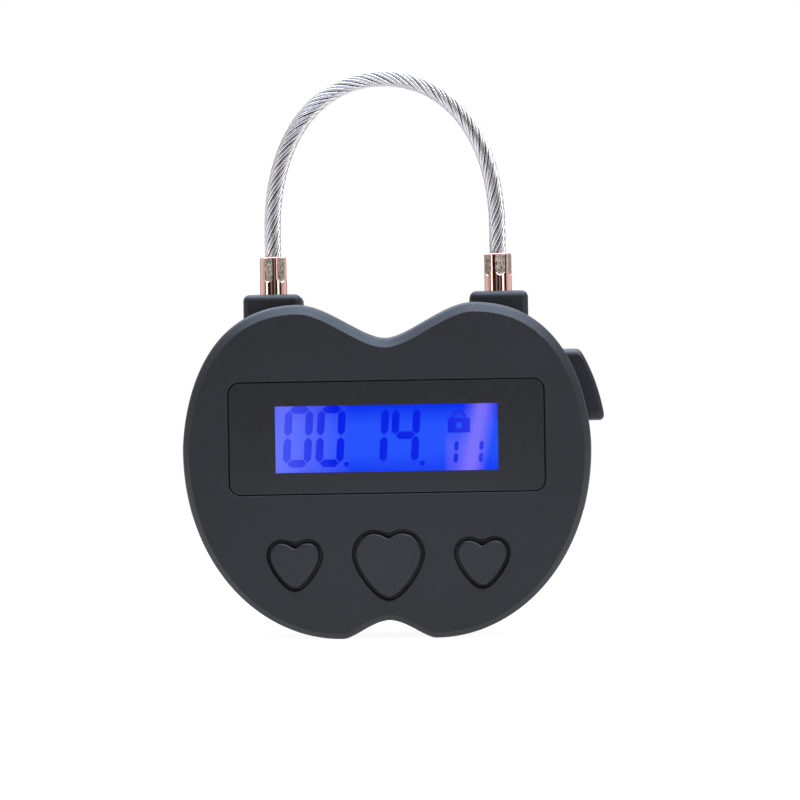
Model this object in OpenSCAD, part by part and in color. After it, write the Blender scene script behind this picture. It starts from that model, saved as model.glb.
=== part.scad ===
// Timed padlock with a wire-rope shackle, a countdown display and heart-shaped buttons.
// +X is to the right, +Y runs from the front face to the back, +Z is up. The origin lies on the
// symmetry plane, at mid-thickness, level with the two rounded feet that the lock stands on.

/* [Body] */
// Width across the widest part of the body
body_w = 70; // [67:0.5:76]
// Height of the two top lobes
lobe_h = 57.4; // [56.6:0.2:60]
// Distance from the middle to the highest point of each lobe
lobe_x = 15; // [14:0.5:17]
// Height of the dip between the lobes
dip_h = 51.5; // [51.2:0.1:53.5]
// Height of the widest part
waist_h = 32.4; // [30:0.2:35]
// Distance from the middle to the lowest point of each foot
foot_x = 8; // [7:0.25:10]
// Height of the notch between the feet
notch_h = 3.1; // [2:0.1:3.6]
// Depth of the front shell
front_depth = 9; // [8.4:0.2:12]
// Depth of the rear shell
rear_depth = 13; // [13:0.2:18]
// Thickness of the side walls
wall = 1.8; // [1.6:0.1:2]
// Thickness of the front wall
face_wall = 2; // [1.7:0.1:2.4]
// Thickness of the back wall
back_wall = 2; // [1.6:0.1:2.6]
// Rounding of the front rim
rim_r = 1.5; // [0.8:0.1:2]
// Rounding of the back rim
back_r = 2; // [0.8:0.1:2.4]

/* [Display] */
// Width of the display lens
lens_w = 54.15; // [50:0.25:56]
// Height of the display lens
lens_h = 19.4; // [18.8:0.2:20.4]
// Thickness of the display lens
lens_t = 1; // [0.8:0.1:1.2]
// Corner radius of the display lens
lens_r = 2; // [1:0.25:4]
// Height of the middle of the lens
lens_z = 34.5; // [34:0.1:35]
// Width of the clear window
window_w = 38.1; // [36:0.1:41]
// Height of the clear window
window_h = 11.4; // [11:0.1:12.4]
// Height of the middle of the window
window_z = 34.3; // [34:0.1:34.6]
// Width of the display glass
glass_w = 43; // [42:0.25:45]
// Height of the display glass
glass_h = 15.4; // [14.8:0.1:15.8]
// Thickness of the display glass
glass_t = 2.2; // [1.8:0.1:2.4]
// Height of the large digits
digit_h = 10.5; // [9:0.1:10.7]
// Stroke of the large digits
digit_t = 1.3; // [0.9:0.05:1.5]
// Slant of the digits in degrees
slant = 3.75; // [0:0.25:8]

/* [Buttons] */
// Width of the middle heart button
lock_w = 11.1; // [10:0.1:12]
// Height of the middle heart button
lock_h = 10.8; // [9.8:0.1:11.2]
// Width of the two small heart buttons
side_w = 8.3; // [7.5:0.1:9]
// Height of the two small heart buttons
side_h = 7.6; // [7:0.1:8.4]
// Distance from the middle to each small button
side_x = 16; // [15.6:0.1:16.6]
// Height of the middle button's centre
lock_z = 12.6; // [12.2:0.1:13]
// Height of the small buttons' centres
side_z = 12.8; // [12.4:0.1:13.4]
// Gap between a button and its opening
button_gap = 0.55; // [0.3:0.05:0.7]
// Height of a button above the face
button_proud = 0.6; // [0.5:0.05:1]
// Travel of the heart buttons
button_travel = 0.5; // [0.3:0.05:0.5]
// Width of the power button along the body's depth
power_w = 8; // [6:0.25:8.5]
// Height of the power button's lower edge
power_low = 36.8; // [36.6:0.2:37.8]
// Height of the power button's upper edge
power_high = 49.4; // [48.8:0.2:49.6]
// Height of the power button above the side wall
power_proud = 3.4; // [2.4:0.1:3.6]
// Travel of the power button
power_travel = 0.8; // [0.4:0.1:0.9]

/* [Shackle] */
// Diameter of the wire rope
rope_d = 3; // [2.6:0.1:3.2]
// Distance from the middle to each leg of the shackle
leg_x = 19.8; // [19.6:0.1:20.2]
// Depth position of the shackle's plane
shackle_y = 3.5; // [3.4:0.1:3.8]
// Height of the top of the rope's centreline
loop_h = 97.7; // [86:0.5:120]
// Height where the legs start to bend
bend_z = 71; // [68:0.5:78]
// Diameter of the ferrules
ferrule_d = 4.8; // [4.6:0.1:5]
// Height of the ferrules above the bosses
ferrule_up = 6.7; // [6:0.1:9]
// Height of the top of the two bosses
boss_top = 59.7; // [59.2:0.1:62]
// Width of each boss
boss_w = 10.2; // [9.6:0.1:11]

/* [Lock mechanism] */
// Diameter of the locking pin
pin_d = 4; // [3.8:0.1:4.2]
// Diameter at the bottom of the locking pin's groove
groove_d = 2.2; // [2:0.1:2.4]
// Distance of the latch bolt below the dip between the lobes
latch_drop = 4.5; // [4.1:0.1:4.7]
// Travel of the latch bolt
latch_travel = 1.2; // [1:0.05:1.25]
// Gear module
gear_m = 0.4; // [0.4:0.005:0.41]
// Teeth on the motor pinion and on the rack pinion
pinion_teeth = 10; // [10:1:11]
// Teeth on the reduction wheel
wheel_teeth = 24; // [22:1:24]
// Diameter of the latch motor
motor_d = 8; // [7:0.1:8.2]

/* [Charging hole] */
// Bore of the charging jack
jack_bore_d = 2.7; // [2.4:0.1:3.6]
// Depth of the charging jack's bore
jack_depth = 9.5; // [7:0.25:10]
// Height of the charging jack
jack_z = 17.8; // [17.4:0.1:18.2]

/* [Battery] */
// Width of the battery
battery_w = 34; // [28:0.5:35]
// Height of the battery
battery_h = 22; // [18:0.5:22.5]
// Thickness of the battery
battery_t = 5.5; // [4:0.25:5.8]

/* [Hidden] */
$fn = 48;

// Colours
shell_colour = [0.19, 0.19, 0.22];
button_colour = [0.15, 0.15, 0.18];
mask_colour = [0.20, 0.21, 0.22];
lens_colour = [0.55, 0.60, 0.70, 0.35];
glow_colour = [0.08, 0.22, 0.98];
ink_colour = [0.03, 0.10, 0.75];
board_colour = [0.06, 0.36, 0.20];
chip_colour = [0.08, 0.08, 0.09];
steel_colour = [0.72, 0.73, 0.75];
zinc_colour = [0.60, 0.61, 0.63];
brass_colour = [0.80, 0.66, 0.32];
nickel_colour = [0.86, 0.72, 0.64];
pouch_colour = [0.75, 0.76, 0.78];
foam_colour = [0.16, 0.16, 0.16];

// Clearances
slip = 0.05;        // between parts that slide or turn on each other
seat_gap = 0.1;     // between a part and the seat it drops into
press_gap = 0.01;   // between parts that are pressed together
piece_gap = 0.3;    // between parts that only pass each other
through_cut = 1;    // how far a cut runs past the face that it opens

// Depth positions, from the front face to the back
front_y = -(front_depth + rear_depth) / 2;
back_y = -front_y;
split_y = front_y + front_depth;
face_in_y = front_y + face_wall;
back_in_y = back_y - back_wall;
mask_t = 0.1;
segment_t = 0.08;
segment_gap = 0.12;
backlight_t = 2.5;
board_t = 1.2;
lens_y = front_y + seat_gap;
mask_y = lens_y + lens_t;
segment_y = mask_y + mask_t + segment_gap;
glass_y = segment_y + segment_t;
backlight_y = glass_y + glass_t;
board_y = backlight_y + backlight_t;
board_back_y = board_y + board_t;

// Outline of the body: five key points a side, joined by curves with flat or upright ends
dip_handle = 3.9;
lobe_inner_handle = 5;
lobe_outer_handle = 18.5;
waist_upper_handle = 3.8;
waist_lower_handle = 19;
foot_outer_handle = 14.6;
foot_inner_handle = 1.8;
notch_handle = 2.7;
body_middle = [0, 30];

function curve_point(a, b, c, d, t) =
    pow(1 - t, 3) * a + 3 * pow(1 - t, 2) * t * b + 3 * (1 - t) * t * t * c + pow(t, 3) * d;
function curve(a, b, c, d, steps) = [for (i = [0:steps - 1]) curve_point(a, b, c, d, i / steps)];
function mirrored(half) = concat(half, [for (i = [len(half) - 2:-1:1]) [-half[i][0], half[i][1]]]);

dip_side = concat(curve([0, dip_h], [dip_handle, dip_h], [lobe_x - lobe_inner_handle, lobe_h],
    [lobe_x, lobe_h], 11), [[lobe_x, lobe_h]]);
upper_side = curve([lobe_x, lobe_h], [lobe_x + lobe_outer_handle, lobe_h],
    [body_w / 2, waist_h + waist_upper_handle], [body_w / 2, waist_h], 16);
lower_side = curve([body_w / 2, waist_h], [body_w / 2, waist_h - waist_lower_handle],
    [foot_x + foot_outer_handle, 0], [foot_x, 0], 18);
half_outline = concat(
    [for (i = [0:len(dip_side) - 2]) dip_side[i]],
    upper_side,
    lower_side,
    curve([foot_x, 0], [foot_x - foot_inner_handle, 0], [notch_handle, notch_h], [0, notch_h], 8),
    [[0, notch_h]]);
outline = mirrored(half_outline);
side_table = [for (side = [lower_side, upper_side], i = [len(side) - 1:-1:0]) [side[i][1], side[i][0]]];

// Distance from the middle to the side wall's outer face at a height
function side_reach(z) = lookup(z, side_table);

// Height of the top wall's outer face between the middle and the top of a lobe
function top_edge(x) = lookup(x, dip_side);

function unit(v) = v / norm(v);
function outward(loop, i) =
    let (n = len(loop), d = unit(loop[(i + 1) % n] - loop[(i + n - 1) % n])) [-d[1], d[0]];
function inset(loop, by) = [for (i = [0:len(loop) - 1]) loop[i] - by * outward(loop, i)];

// A heart, seen from the front, centred on the middle of its height
function heart(w, h, notch, lobe, shoulder) = mirrored(concat(
    curve([0, h / 2 - notch], [0.22 * lobe, h / 2 - 0.9 * notch], [0.45 * lobe, h / 2],
        [lobe, h / 2], 6),
    curve([lobe, h / 2], [lobe + 0.55 * (w / 2 - lobe), h / 2],
        [w / 2, h / 2 - 0.45 * shoulder], [w / 2, h / 2 - shoulder], 7),
    curve([w / 2, h / 2 - shoulder], [w / 2, h / 2 - shoulder - 0.3 * (h - shoulder)],
        [0.18 * w, -h / 2], [0, -h / 2], 11),
    [[0, -h / 2]]));
lock_heart = heart(lock_w, lock_h, 0.8, 2.46, 3.5);
side_heart = heart(side_w, side_h, 0.9, 2.3, 2.1);

// Draws a profile given in X and Z as a slab from one depth to another
module slab(y0, y1) {
    translate([0, y1, 0]) rotate([90, 0, 0]) linear_extrude(y1 - y0) children();
}

// A rod or bore along the depth, at a place in X and Z
module rod_y(place, r, y0, y1) {
    translate([place[0], y1, place[1]]) rotate([90, 0, 0]) cylinder(r = r, h = y1 - y0);
}

// A rod or bore along X, at a place in Y and Z
module rod_x(place, r, x0, x1) {
    translate([x0, place[0], place[1]]) rotate([0, 90, 0]) cylinder(r = r, h = x1 - x0);
}

// A box between two corners
module block(low, high) {
    translate(low) cube(high - low);
}

// A rectangle with round corners, centred
module round_rect(w, h, r) {
    square([w - 2 * r, h], center = true);
    square([w, h - 2 * r], center = true);
    for (x = [-1, 1], z = [-1, 1]) translate([x * (w / 2 - r), z * (h / 2 - r)]) circle(r);
}

// A closed skin over copies of a loop, each one inset by levels[k][0] at depth levels[k][1]
module skin(loop, levels, middle) {
    n = len(loop);
    last = len(levels) - 1;
    rings = [for (level = levels) for (p = inset(loop, level[0])) [p[0], level[1], p[1]]];
    ends = [for (k = [0, last]) [middle[0], levels[k][1], middle[1]]];
    sides = [for (k = [0:last - 1], i = [0:n - 1])
        let (j = (i + 1) % n) [k * n + j, k * n + i, (k + 1) * n + i, (k + 1) * n + j]];
    front = [for (i = [0:n - 1]) [n * (last + 1), i, (i + 1) % n]];
    back = [for (i = [0:n - 1]) [n * (last + 1) + 1, last * n + (i + 1) % n, last * n + i]];
    polyhedron(points = concat(rings, ends), faces = concat(front, sides, back));
}

// Levels that round an edge of radius r from the end face at y, going towards +Y or -Y
function rounded_levels(r, y, way, steps) =
    [for (k = [0:steps]) let (a = 90 * k / steps) [r * (1 - sin(a)), y + way * r * (1 - cos(a))]];
function reversed(list) = [for (i = [len(list) - 1:-1:0]) list[i]];

// Screws that hold the two shells, driven from the back
case_upper_x = 9;
case_upper_in = 3.4;
case_lower_z = 25.2;
case_lower_in = 6.5;
case_screw_upper = [case_upper_x, top_edge(case_upper_x) - case_upper_in];
case_screw_lower = [side_reach(case_lower_z) - case_lower_in, case_lower_z];
case_places = [for (x = [-1, 1], p = [case_screw_upper, case_screw_lower]) [x * p[0], p[1]]];
case_shank_r = 0.95;
case_head_r = 1.9;
case_head_t = 1.3;
case_seat_depth = 5;
case_thread = 3.6;
case_seat_y = split_y + case_seat_depth;
case_screw_end = split_y - case_thread;
case_boss_r = 2.3;
case_tube_r = 2.8;

// Posts that carry the board
board_post_low = [21.5, 22.6];
board_post_high = [16, 47.5];
board_posts = [for (x = [-1, 1], p = [board_post_low, board_post_high]) [x * p[0], p[1]]];
board_post_r = 1.8;
board_thread = 2.6;
board_screw_end = board_y - board_thread;

// Small screws inside the case
small_shank_r = 0.8;
small_head_r = 1.5;
small_head_t = 0.9;
cross_length = 1.3;
cross_width = 0.3;

// The lip that keys the shells together
lip_in = wall / 2;
lip_h = 1.2;

module body_profile(by) {
    polygon(inset(outline, by));
}

module lens_profile(grow) {
    translate([0, lens_z]) round_rect(lens_w + 2 * grow, lens_h + 2 * grow, lens_r + grow);
}

module window_profile() {
    translate([0, window_z]) square([window_w, window_h], center = true);
}

module front_shell() {
    color(shell_colour) difference() {
        union() {
            difference() {
                skin(outline, concat(rounded_levels(rim_r, front_y, 1, 5), [[0, split_y]]), body_middle);
                slab(face_in_y, split_y + through_cut) body_profile(wall);
            }
            for (p = case_places)
                rod_y(p, case_boss_r, face_in_y - slip, split_y);
            for (p = board_posts) rod_y(p, board_post_r, face_in_y - slip, board_y);
        }
        slab(split_y - lip_h - seat_gap, split_y + through_cut) difference() {
            body_profile(lip_in - seat_gap);
            body_profile(wall + seat_gap);
        }
        slab(front_y - through_cut, mask_y + mask_t) lens_profile(0);
        slab(front_y, face_in_y + through_cut) translate([0, window_z])
            square([glass_w + 2 * piece_gap, glass_h + 2 * piece_gap], center = true);
        for (b = heart_buttons)
            translate([b[0], 0, b[1]]) slab(front_y - through_cut, face_in_y + through_cut)
                offset(r = button_gap, $fn = 24) polygon(b[2]);
        for (p = case_places)
            rod_y(p, case_shank_r + slip, case_screw_end - seat_gap, split_y + through_cut);
        for (p = board_posts)
            rod_y(p, small_shank_r + slip, board_screw_end - seat_gap, board_y + through_cut);
        rod_x([jack_y, jack_z], jack_nose_r + seat_gap, -body_w, -jack_face);
    }
}

// Towers on the rear shell that carry the shackle
boss_depth = 10;
boss_corner = 0.9;
boss_root = 4.6;
boss_low = lobe_h - boss_root;

module shackle_boss(side) {
    intersection() {
        slab(shackle_y - boss_depth / 2, shackle_y + boss_depth / 2)
            translate([side * leg_x, (boss_top + boss_low) / 2 - boss_corner])
                round_rect(boss_w, boss_top - boss_low + 2 * boss_corner, boss_corner);
        translate([side * leg_x, shackle_y, boss_low]) linear_extrude(boss_top - boss_low)
            round_rect(boss_w, boss_depth, boss_corner);
    }
}

module rear_shell() {
    color(shell_colour) difference() {
        union() {
            difference() {
                skin(outline, concat([[0, split_y]], reversed(rounded_levels(back_r, back_y, -1, 5))),
                    body_middle);
                slab(split_y - through_cut, back_in_y) body_profile(wall);
            }
            slab(split_y - lip_h, split_y + lip_h) difference() {
                body_profile(lip_in);
                body_profile(wall);
            }
            for (side = [-1, 1]) shackle_boss(side);
            for (p = case_places) rod_y(p, case_tube_r, split_y + seat_gap / 2, back_in_y + slip);
            for (p = block_places) rod_y(p, block_boss_r, block_back_y, back_in_y + slip);
            for (p = [bracket_post_a, bracket_post_b])
                rod_y(p, bracket_post_r, bracket_y + bracket_t, back_in_y + slip);
            rod_y(gear_place, axle_boss_r, axle_boss_y, back_in_y + slip);
            rod_y(motor_place, cradle_r, cradle_y, back_in_y + slip);
            slab(back_in_y - battery_rib_h, back_in_y + slip) translate([0, battery_z])
                difference() {
                    square([battery_w, battery_h] + 2 * (piece_gap + battery_rib_t) * [1, 1],
                        center = true);
                    square([battery_w, battery_h] + 2 * piece_gap * [1, 1], center = true);
                }
        }
        for (side = [-1, 1]) translate([side * leg_x, shackle_y, 0]) {
            translate([0, 0, ferrule_seat_z]) cylinder(r = ferrule_d / 2 + seat_gap, h = lobe_h);
            translate([0, 0, boss_low - through_cut]) cylinder(r = pin_d / 2 + seat_gap, h = lobe_h / 4);
        }
        for (p = case_places) {
            rod_y(p, case_shank_r + seat_gap, split_y - lip_h - through_cut, case_seat_y + through_cut);
            rod_y(p, case_head_r + seat_gap, case_seat_y, back_y + through_cut);
        }
        for (p = block_places)
            rod_y(p, small_shank_r + slip, block_back_y - through_cut, block_screw_end + seat_gap);
        for (p = [bracket_post_a, bracket_post_b])
            rod_y(p, small_shank_r + slip, bracket_y, bracket_screw_end + seat_gap);
        rod_y(gear_place, axle_r + 2 * press_gap, axle_boss_y - through_cut, axle_end_y + seat_gap);
        rod_y(motor_place, motor_d / 2 + seat_gap, cradle_y - through_cut, back_in_y);
        power_tunnel();
        rod_x([jack_y, jack_z], jack_nose_r + seat_gap, -body_w, -jack_face);
    }
}

// Display
module display_lens() {
    color(lens_colour) slab(lens_y, lens_y + lens_t) lens_profile(-1.5 * seat_gap);
}

module lens_mask() {
    color(mask_colour) slab(mask_y, mask_y + mask_t) difference() {
        lens_profile(-2 * seat_gap);
        window_profile();
    }
}

connector_h = 1.6;
connector_in = 1;
module lcd_glass() {
    color([0.35, 0.45, 0.95]) slab(glass_y, glass_y + glass_t) translate([0, window_z])
        square([glass_w, glass_h], center = true);
}

module lcd_backlight() {
    color(glow_colour) slab(backlight_y, backlight_y + backlight_t)
        translate([-glass_w / 2, window_z - glass_h / 2 + connector_h + 2 * piece_gap])
            square([glass_w, glass_h - connector_h - 2 * piece_gap]);
}

module lcd_connector() {
    color([0.85, 0.45, 0.55]) slab(backlight_y, backlight_y + backlight_t)
        translate([-glass_w / 2 + connector_in, window_z - glass_h / 2 + piece_gap])
            square([glass_w - 2 * connector_in, connector_h]);
}

// Strokes of the display, slanted about the foot of the digits
digit_foot = window_z + window_h / 2 - digit_h;
digit_step = 3.55;
digit_lit = [[-16.57, "abcdef"], [-11.0, "abcdef"], [-3.6, "bc"], [1.78, "bcfg"]];
dot_places = [[-6.25, 0.45], [6.7, 0.45]];
dot_r = 0.43;
small_one_places = [12.4, 16.7];
small_one_up = 0.2;
small_one_h = 4.1;
small_one_t = 0.75;
icon_place = [12.4, 36.3];
icon_w = 3.8;
icon_h = 2.5;
icon_arch_r = 1.3;
icon_stroke = 0.5;
stroke_gap = 0.12;

function slanted(p) = [p[0] - tan(slant) * (digit_foot + digit_h - p[1]), p[1]];

// One stroke with pointed ends between two corners of a digit
module stroke(a, b, t) {
    d = unit(b - a);
    s = [-d[1], d[0]] * t / 2;
    p = a + d * stroke_gap;
    q = b - d * stroke_gap;
    polygon([for (v = [p, p + d * t / 2 + s, q - d * t / 2 + s, q, q - d * t / 2 - s,
        p + d * t / 2 - s]) slanted(v)]);
}

module digit(x, lit) {
    low = digit_foot + digit_t / 2;
    high = digit_foot + digit_h - digit_t / 2;
    mid = (low + high) / 2;
    corners = [[x, high], [x + digit_step, high], [x + digit_step, mid], [x + digit_step, low],
        [x, low], [x, mid]];
    strokes = [["a", 0, 1], ["b", 1, 2], ["c", 3, 2], ["d", 4, 3], ["e", 4, 5], ["f", 5, 0],
        ["g", 5, 2]];
    for (s = strokes) if (len(search(s[0], lit)) > 0) stroke(corners[s[1]], corners[s[2]], digit_t);
}

module lcd_segments() {
    color(ink_colour) slab(segment_y, segment_y + segment_t) {
        for (d = digit_lit) digit(d[0], d[1]);
        for (p = dot_places) translate(slanted([p[0], digit_foot + p[1]])) circle(dot_r);
        for (x = small_one_places, k = [0, 1])
            stroke([x, digit_foot + small_one_up + k * small_one_h / 2],
                [x, digit_foot + small_one_up + (k + 1) * small_one_h / 2], small_one_t);
        translate(icon_place) {
            difference() {
                square([icon_w, icon_h], center = true);
                circle(icon_stroke);
            }
            translate([0, icon_h / 2]) difference() {
                circle(icon_arch_r);
                circle(icon_arch_r - icon_stroke);
                translate([-icon_w, -2 * icon_w]) square(2 * icon_w);
            }
        }
    }
}

// Board and the parts on it
board_in = wall + piece_gap;
board_drop = 6.9;
board_top = lobe_h - board_drop;
switch_size = 6;
switch_t = 2;
plunger_r = 1.5;
plunger_up = 0.7;
plunger_sunk = 0.6;
post_gap = 0.05;
heart_buttons = [[-side_x, side_z, side_heart], [0, lock_z, lock_heart], [side_x, side_z, side_heart]];

module main_board() {
    color(board_colour) slab(board_y, board_back_y) difference() {
        intersection() {
            body_profile(board_in);
            translate([-body_w / 2, 0]) square([body_w, board_top]);
        }
        for (p = case_places) translate(p) circle(case_boss_r + piece_gap);
        for (p = board_posts) translate(p) circle(small_shank_r + seat_gap);
    }
}

chip_size = [7, 7];
chip_t = 1.2;
coil_size = [3, 3];
large_part = [3, 1.6];
small_part = [2, 1.2];
small_part_t = 0.9;
chip_place = [-9, 29];
coil_place = [8, 28];
large_places = [[-2, 25], [19, 36]];
small_places = [[-17, 33], [-17, 36], [-17, 39], [3, 25], [14, 26], [14, 29]];
module board_parts() {
    color(chip_colour) {
        slab(board_back_y, board_back_y + chip_t) translate(chip_place) square(chip_size, center = true);
        slab(board_back_y, board_back_y + small_part_t) {
            translate(coil_place) square(coil_size, center = true);
            for (p = large_places) translate(p) square(large_part, center = true);
            for (p = small_places) translate(p) square(small_part, center = true);
        }
    }
}

module tact_switches() {
    color(chip_colour) for (b = heart_buttons) difference() {
        translate([b[0], 0, b[1]]) slab(board_y - switch_t, board_y)
            square(switch_size, center = true);
        rod_y([b[0], b[1]], plunger_r + slip, board_y - switch_t - through_cut,
            board_y - switch_t + plunger_sunk + button_travel + seat_gap);
    }
}

// Heart buttons: a rounded cap, a flange behind the face and a post down to the switch
flange_t = 0.6;
flange_reach = 1;
cap_round = 0.35;
cap_steps = 3;
module heart_button(b) {
    flange_y = face_in_y + slip;
    post_end = board_y - switch_t - plunger_up - post_gap;
    color(button_colour) translate([b[0], 0, b[1]]) {
        skin(b[2], concat(rounded_levels(cap_round, front_y - button_proud, 1, cap_steps),
            [[0, flange_y + flange_t / 2]]), [0, 0]);
        slab(flange_y, flange_y + flange_t) offset(r = flange_reach, $fn = 24) polygon(b[2]);
        rod_y([0, 0], plunger_r, flange_y + 3 / 4 * flange_t, post_end);
    }
}

module heart_plunger(b) {
    color(steel_colour) rod_y([b[0], b[1]], plunger_r, board_y - switch_t - plunger_up,
        board_y - switch_t + plunger_sunk);
}

module hour_button() { heart_button(heart_buttons[0]); }
module lock_button() { heart_button(heart_buttons[1]); }
module minute_button() { heart_button(heart_buttons[2]); }
module hour_plunger() { heart_plunger(heart_buttons[0]); }
module lock_plunger() { heart_plunger(heart_buttons[1]); }
module minute_plunger() { heart_plunger(heart_buttons[2]); }

// Power button: a tab that stands out of the right side wall and follows its curve
power_mid_z = (power_low + power_high) / 2;
power_corner = 1.2;
power_edge = 0.8;
power_flange_t = 1.6;
power_flange_reach = 0.9;
power_switch_y = 0.9;
power_switch_back = 2.5;
power_plunger_up = 1;
power_switch_t = 3.6;
power_inner = side_reach(power_mid_z) - wall - power_flange_t;
power_switch_x = power_inner - post_gap - power_plunger_up;

module power_tunnel() {
    translate([power_inner - power_travel - piece_gap, shackle_y, power_mid_z]) rotate([90, 0, 90])
        linear_extrude(body_w) round_rect(power_w + 2 * seat_gap,
            power_high - power_low + 2 * seat_gap, power_corner + seat_gap);
}

module power_band(grow, low, high) {
    intersection() {
        body_profile(-grow);
        translate([power_inner, low]) square([body_w, high - low]);
    }
}

module power_button() {
    color(button_colour) {
        intersection() {
            slab(shackle_y - power_w, shackle_y + power_w)
                offset(r = power_edge, $fn = 24) offset(delta = -power_edge)
                    power_band(power_proud, power_low, power_high);
            translate([power_inner, shackle_y, power_mid_z]) rotate([90, 0, 90])
                linear_extrude(body_w) round_rect(power_w, power_high - power_low, power_corner);
        }
        slab(shackle_y - power_w / 2 - power_flange_reach, shackle_y + power_w / 2)
            power_band(-wall - seat_gap, power_low - power_flange_reach,
                power_high + power_flange_reach);
    }
}

module power_plunger() {
    color(steel_colour) rod_x([power_switch_y, power_mid_z], plunger_r,
        power_switch_x - plunger_sunk, power_switch_x + power_plunger_up);
}

module power_switch() {
    color(chip_colour) difference() {
        block([power_switch_x - power_switch_t, board_back_y, power_mid_z - switch_size / 2],
            [power_switch_x, power_switch_y + power_switch_back, power_mid_z + switch_size / 2]);
        rod_x([power_switch_y, power_mid_z], plunger_r + slip,
            power_switch_x - plunger_sunk - power_travel - seat_gap, power_switch_x + through_cut);
    }
}

// Charging jack on the back of the board, its nose in the left side wall
jack_size = [9.5, 5, 6];
jack_nose_r = 2.5;
jack_nose_h = 2.2;
jack_in = 1;
jack_y = board_back_y + jack_size[1] / 2;
jack_face = side_reach(jack_z - jack_nose_r) - wall - jack_in;
jack_mouth = jack_face + jack_nose_h;
module charging_jack() {
    color(chip_colour) difference() {
        union() {
            block([-jack_face, board_back_y, jack_z - jack_size[2] / 2],
                [jack_size[0] - jack_face, board_back_y + jack_size[1], jack_z + jack_size[2] / 2]);
            rod_x([jack_y, jack_z], jack_nose_r, -jack_mouth, -jack_face + slip);
        }
        rod_x([jack_y, jack_z], jack_bore_d / 2, -jack_mouth - through_cut, jack_depth - jack_mouth);
    }
}

// Battery on its foam pad, inside a rib frame
pad_t = 0.3;
pad_in = 2;
battery_z = 17;
battery_corner = 1;
battery_rib_h = 2.4;
battery_rib_t = 1;
battery_y = back_in_y - pad_t - battery_t;
module battery() {
    color(pouch_colour) slab(battery_y, battery_y + battery_t)
        translate([0, battery_z]) round_rect(battery_w, battery_h, battery_corner);
}

// Leads from the battery and the motor to the board
lead_r = 0.35;
battery_lead_up = 1.6;
battery_lead_in = 0.9;
battery_lead_z = battery_z + battery_h / 2 + battery_lead_up;
battery_lead_y = battery_y + battery_lead_in;
battery_lead_places = [-15.2, -13.8];
motor_lead_out = 3.2;
motor_lead_ways = [200, 250];
module battery_leads() {
    color("firebrick") for (x = battery_lead_places) {
        translate([x, battery_lead_y, battery_z + battery_h / 2])
            cylinder(r = lead_r, h = battery_lead_up);
        translate([x, battery_lead_y, battery_lead_z]) sphere(lead_r);
        rod_y([x, battery_lead_z], lead_r, board_back_y, battery_lead_y);
    }
}

module motor_leads() {
    color("firebrick") for (way = motor_lead_ways)
        rod_y(motor_place + motor_lead_out * [cos(way), sin(way)], lead_r, board_back_y, motor_y);
}

module battery_pad() {
    color(foam_colour) slab(back_in_y - pad_t, back_in_y) translate([0, battery_z])
        square([battery_w, battery_h] - 2 * pad_in * [1, 1], center = true);
}

// Gear teeth: involute flanks at a 25 degree pressure angle, with short tips
pressure_angle = 25;
tip_share = 0.8;
root_share = 1.05;
tooth_play = 0.06;
flank_steps = 4;
mesh_gap = 0.02;
pinion_r = gear_m * pinion_teeth / 2;
wheel_r = gear_m * wheel_teeth / 2;
tooth_pitch = PI * gear_m;

function involute(a) = tan(a) * 180 / PI - a;
function half_tooth(r, teeth) =
    let (pitch_r = gear_m * teeth / 2, base_r = pitch_r * cos(pressure_angle))
    90 / teeth - tooth_play / 2 / pitch_r * 180 / PI + involute(pressure_angle)
        - involute(acos(min(1, base_r / r)));
function gear_points(teeth) =
    let (pitch_r = gear_m * teeth / 2, root_r = pitch_r - root_share * gear_m,
        tip_r = pitch_r + tip_share * gear_m,
        start_r = max(root_r, pitch_r * cos(pressure_angle)),
        radii = concat([root_r],
            [for (k = [0:flank_steps]) start_r + (tip_r - start_r) * k / flank_steps]))
    [for (tooth = [0:teeth - 1], way = [-1, 1], k = [0:len(radii) - 1])
        let (r = radii[way < 0 ? k : len(radii) - 1 - k],
            a = 90 + 360 * tooth / teeth + way * half_tooth(max(r, start_r), teeth))
        r * [cos(a), sin(a)]];

// The bolt lies below the dip, and far enough below the bosses for the screws of the end blocks
latch_cover = 5.7;
latch_z = min(dip_h - latch_drop, boss_low - slip - latch_cover);

// Places of the gears, in X and Z: each is drawn with a tooth up, then turned into mesh
bolt_w = 3;
bolt_h = 2;
rack_pitch_z = latch_z - bolt_h / 2 - root_share * gear_m;
gear_x = 5.5;
gear_place = [gear_x, rack_pitch_z - pinion_r - mesh_gap];
motor_way = 205;
motor_place = gear_place + (wheel_r + pinion_r + mesh_gap) * [cos(motor_way), sin(motor_way)];
wheel_in = 0.7;
wheel_y = split_y + wheel_in;
wheel_t = 1.2;
axle_r = 0.5;
axle_seat = 0.5;
axle_boss_r = 1.5;
bolt_y0 = shackle_y - bolt_w / 2;
bolt_y1 = shackle_y + bolt_w / 2;
pinion_end_y = bolt_y1 + 0.2;
axle_boss_y = pinion_end_y + piece_gap;
axle_end_y = back_in_y - axle_seat;
motor_y = wheel_y + wheel_t + 2 * piece_gap;
shaft_in = 3.6;
shaft_end_y = motor_y + shaft_in;
cradle_t = 1;
cradle_h = 3.5;
cradle_r = motor_d / 2 + cradle_t;
cradle_y = back_in_y - cradle_h;
bracket_t = 0.6;
bracket_up = 1;
bracket_thread = 4;
bracket_y = wheel_y - bracket_up;
bracket_reach_a = [-7.7, 2.94];
bracket_reach_b = [7, -3.76];
bracket_post_a = gear_place + bracket_reach_a;
bracket_post_b = gear_place + bracket_reach_b;
bracket_post_r = 1.6;
bracket_screw_end = bracket_y + bracket_t + bracket_thread;

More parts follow.
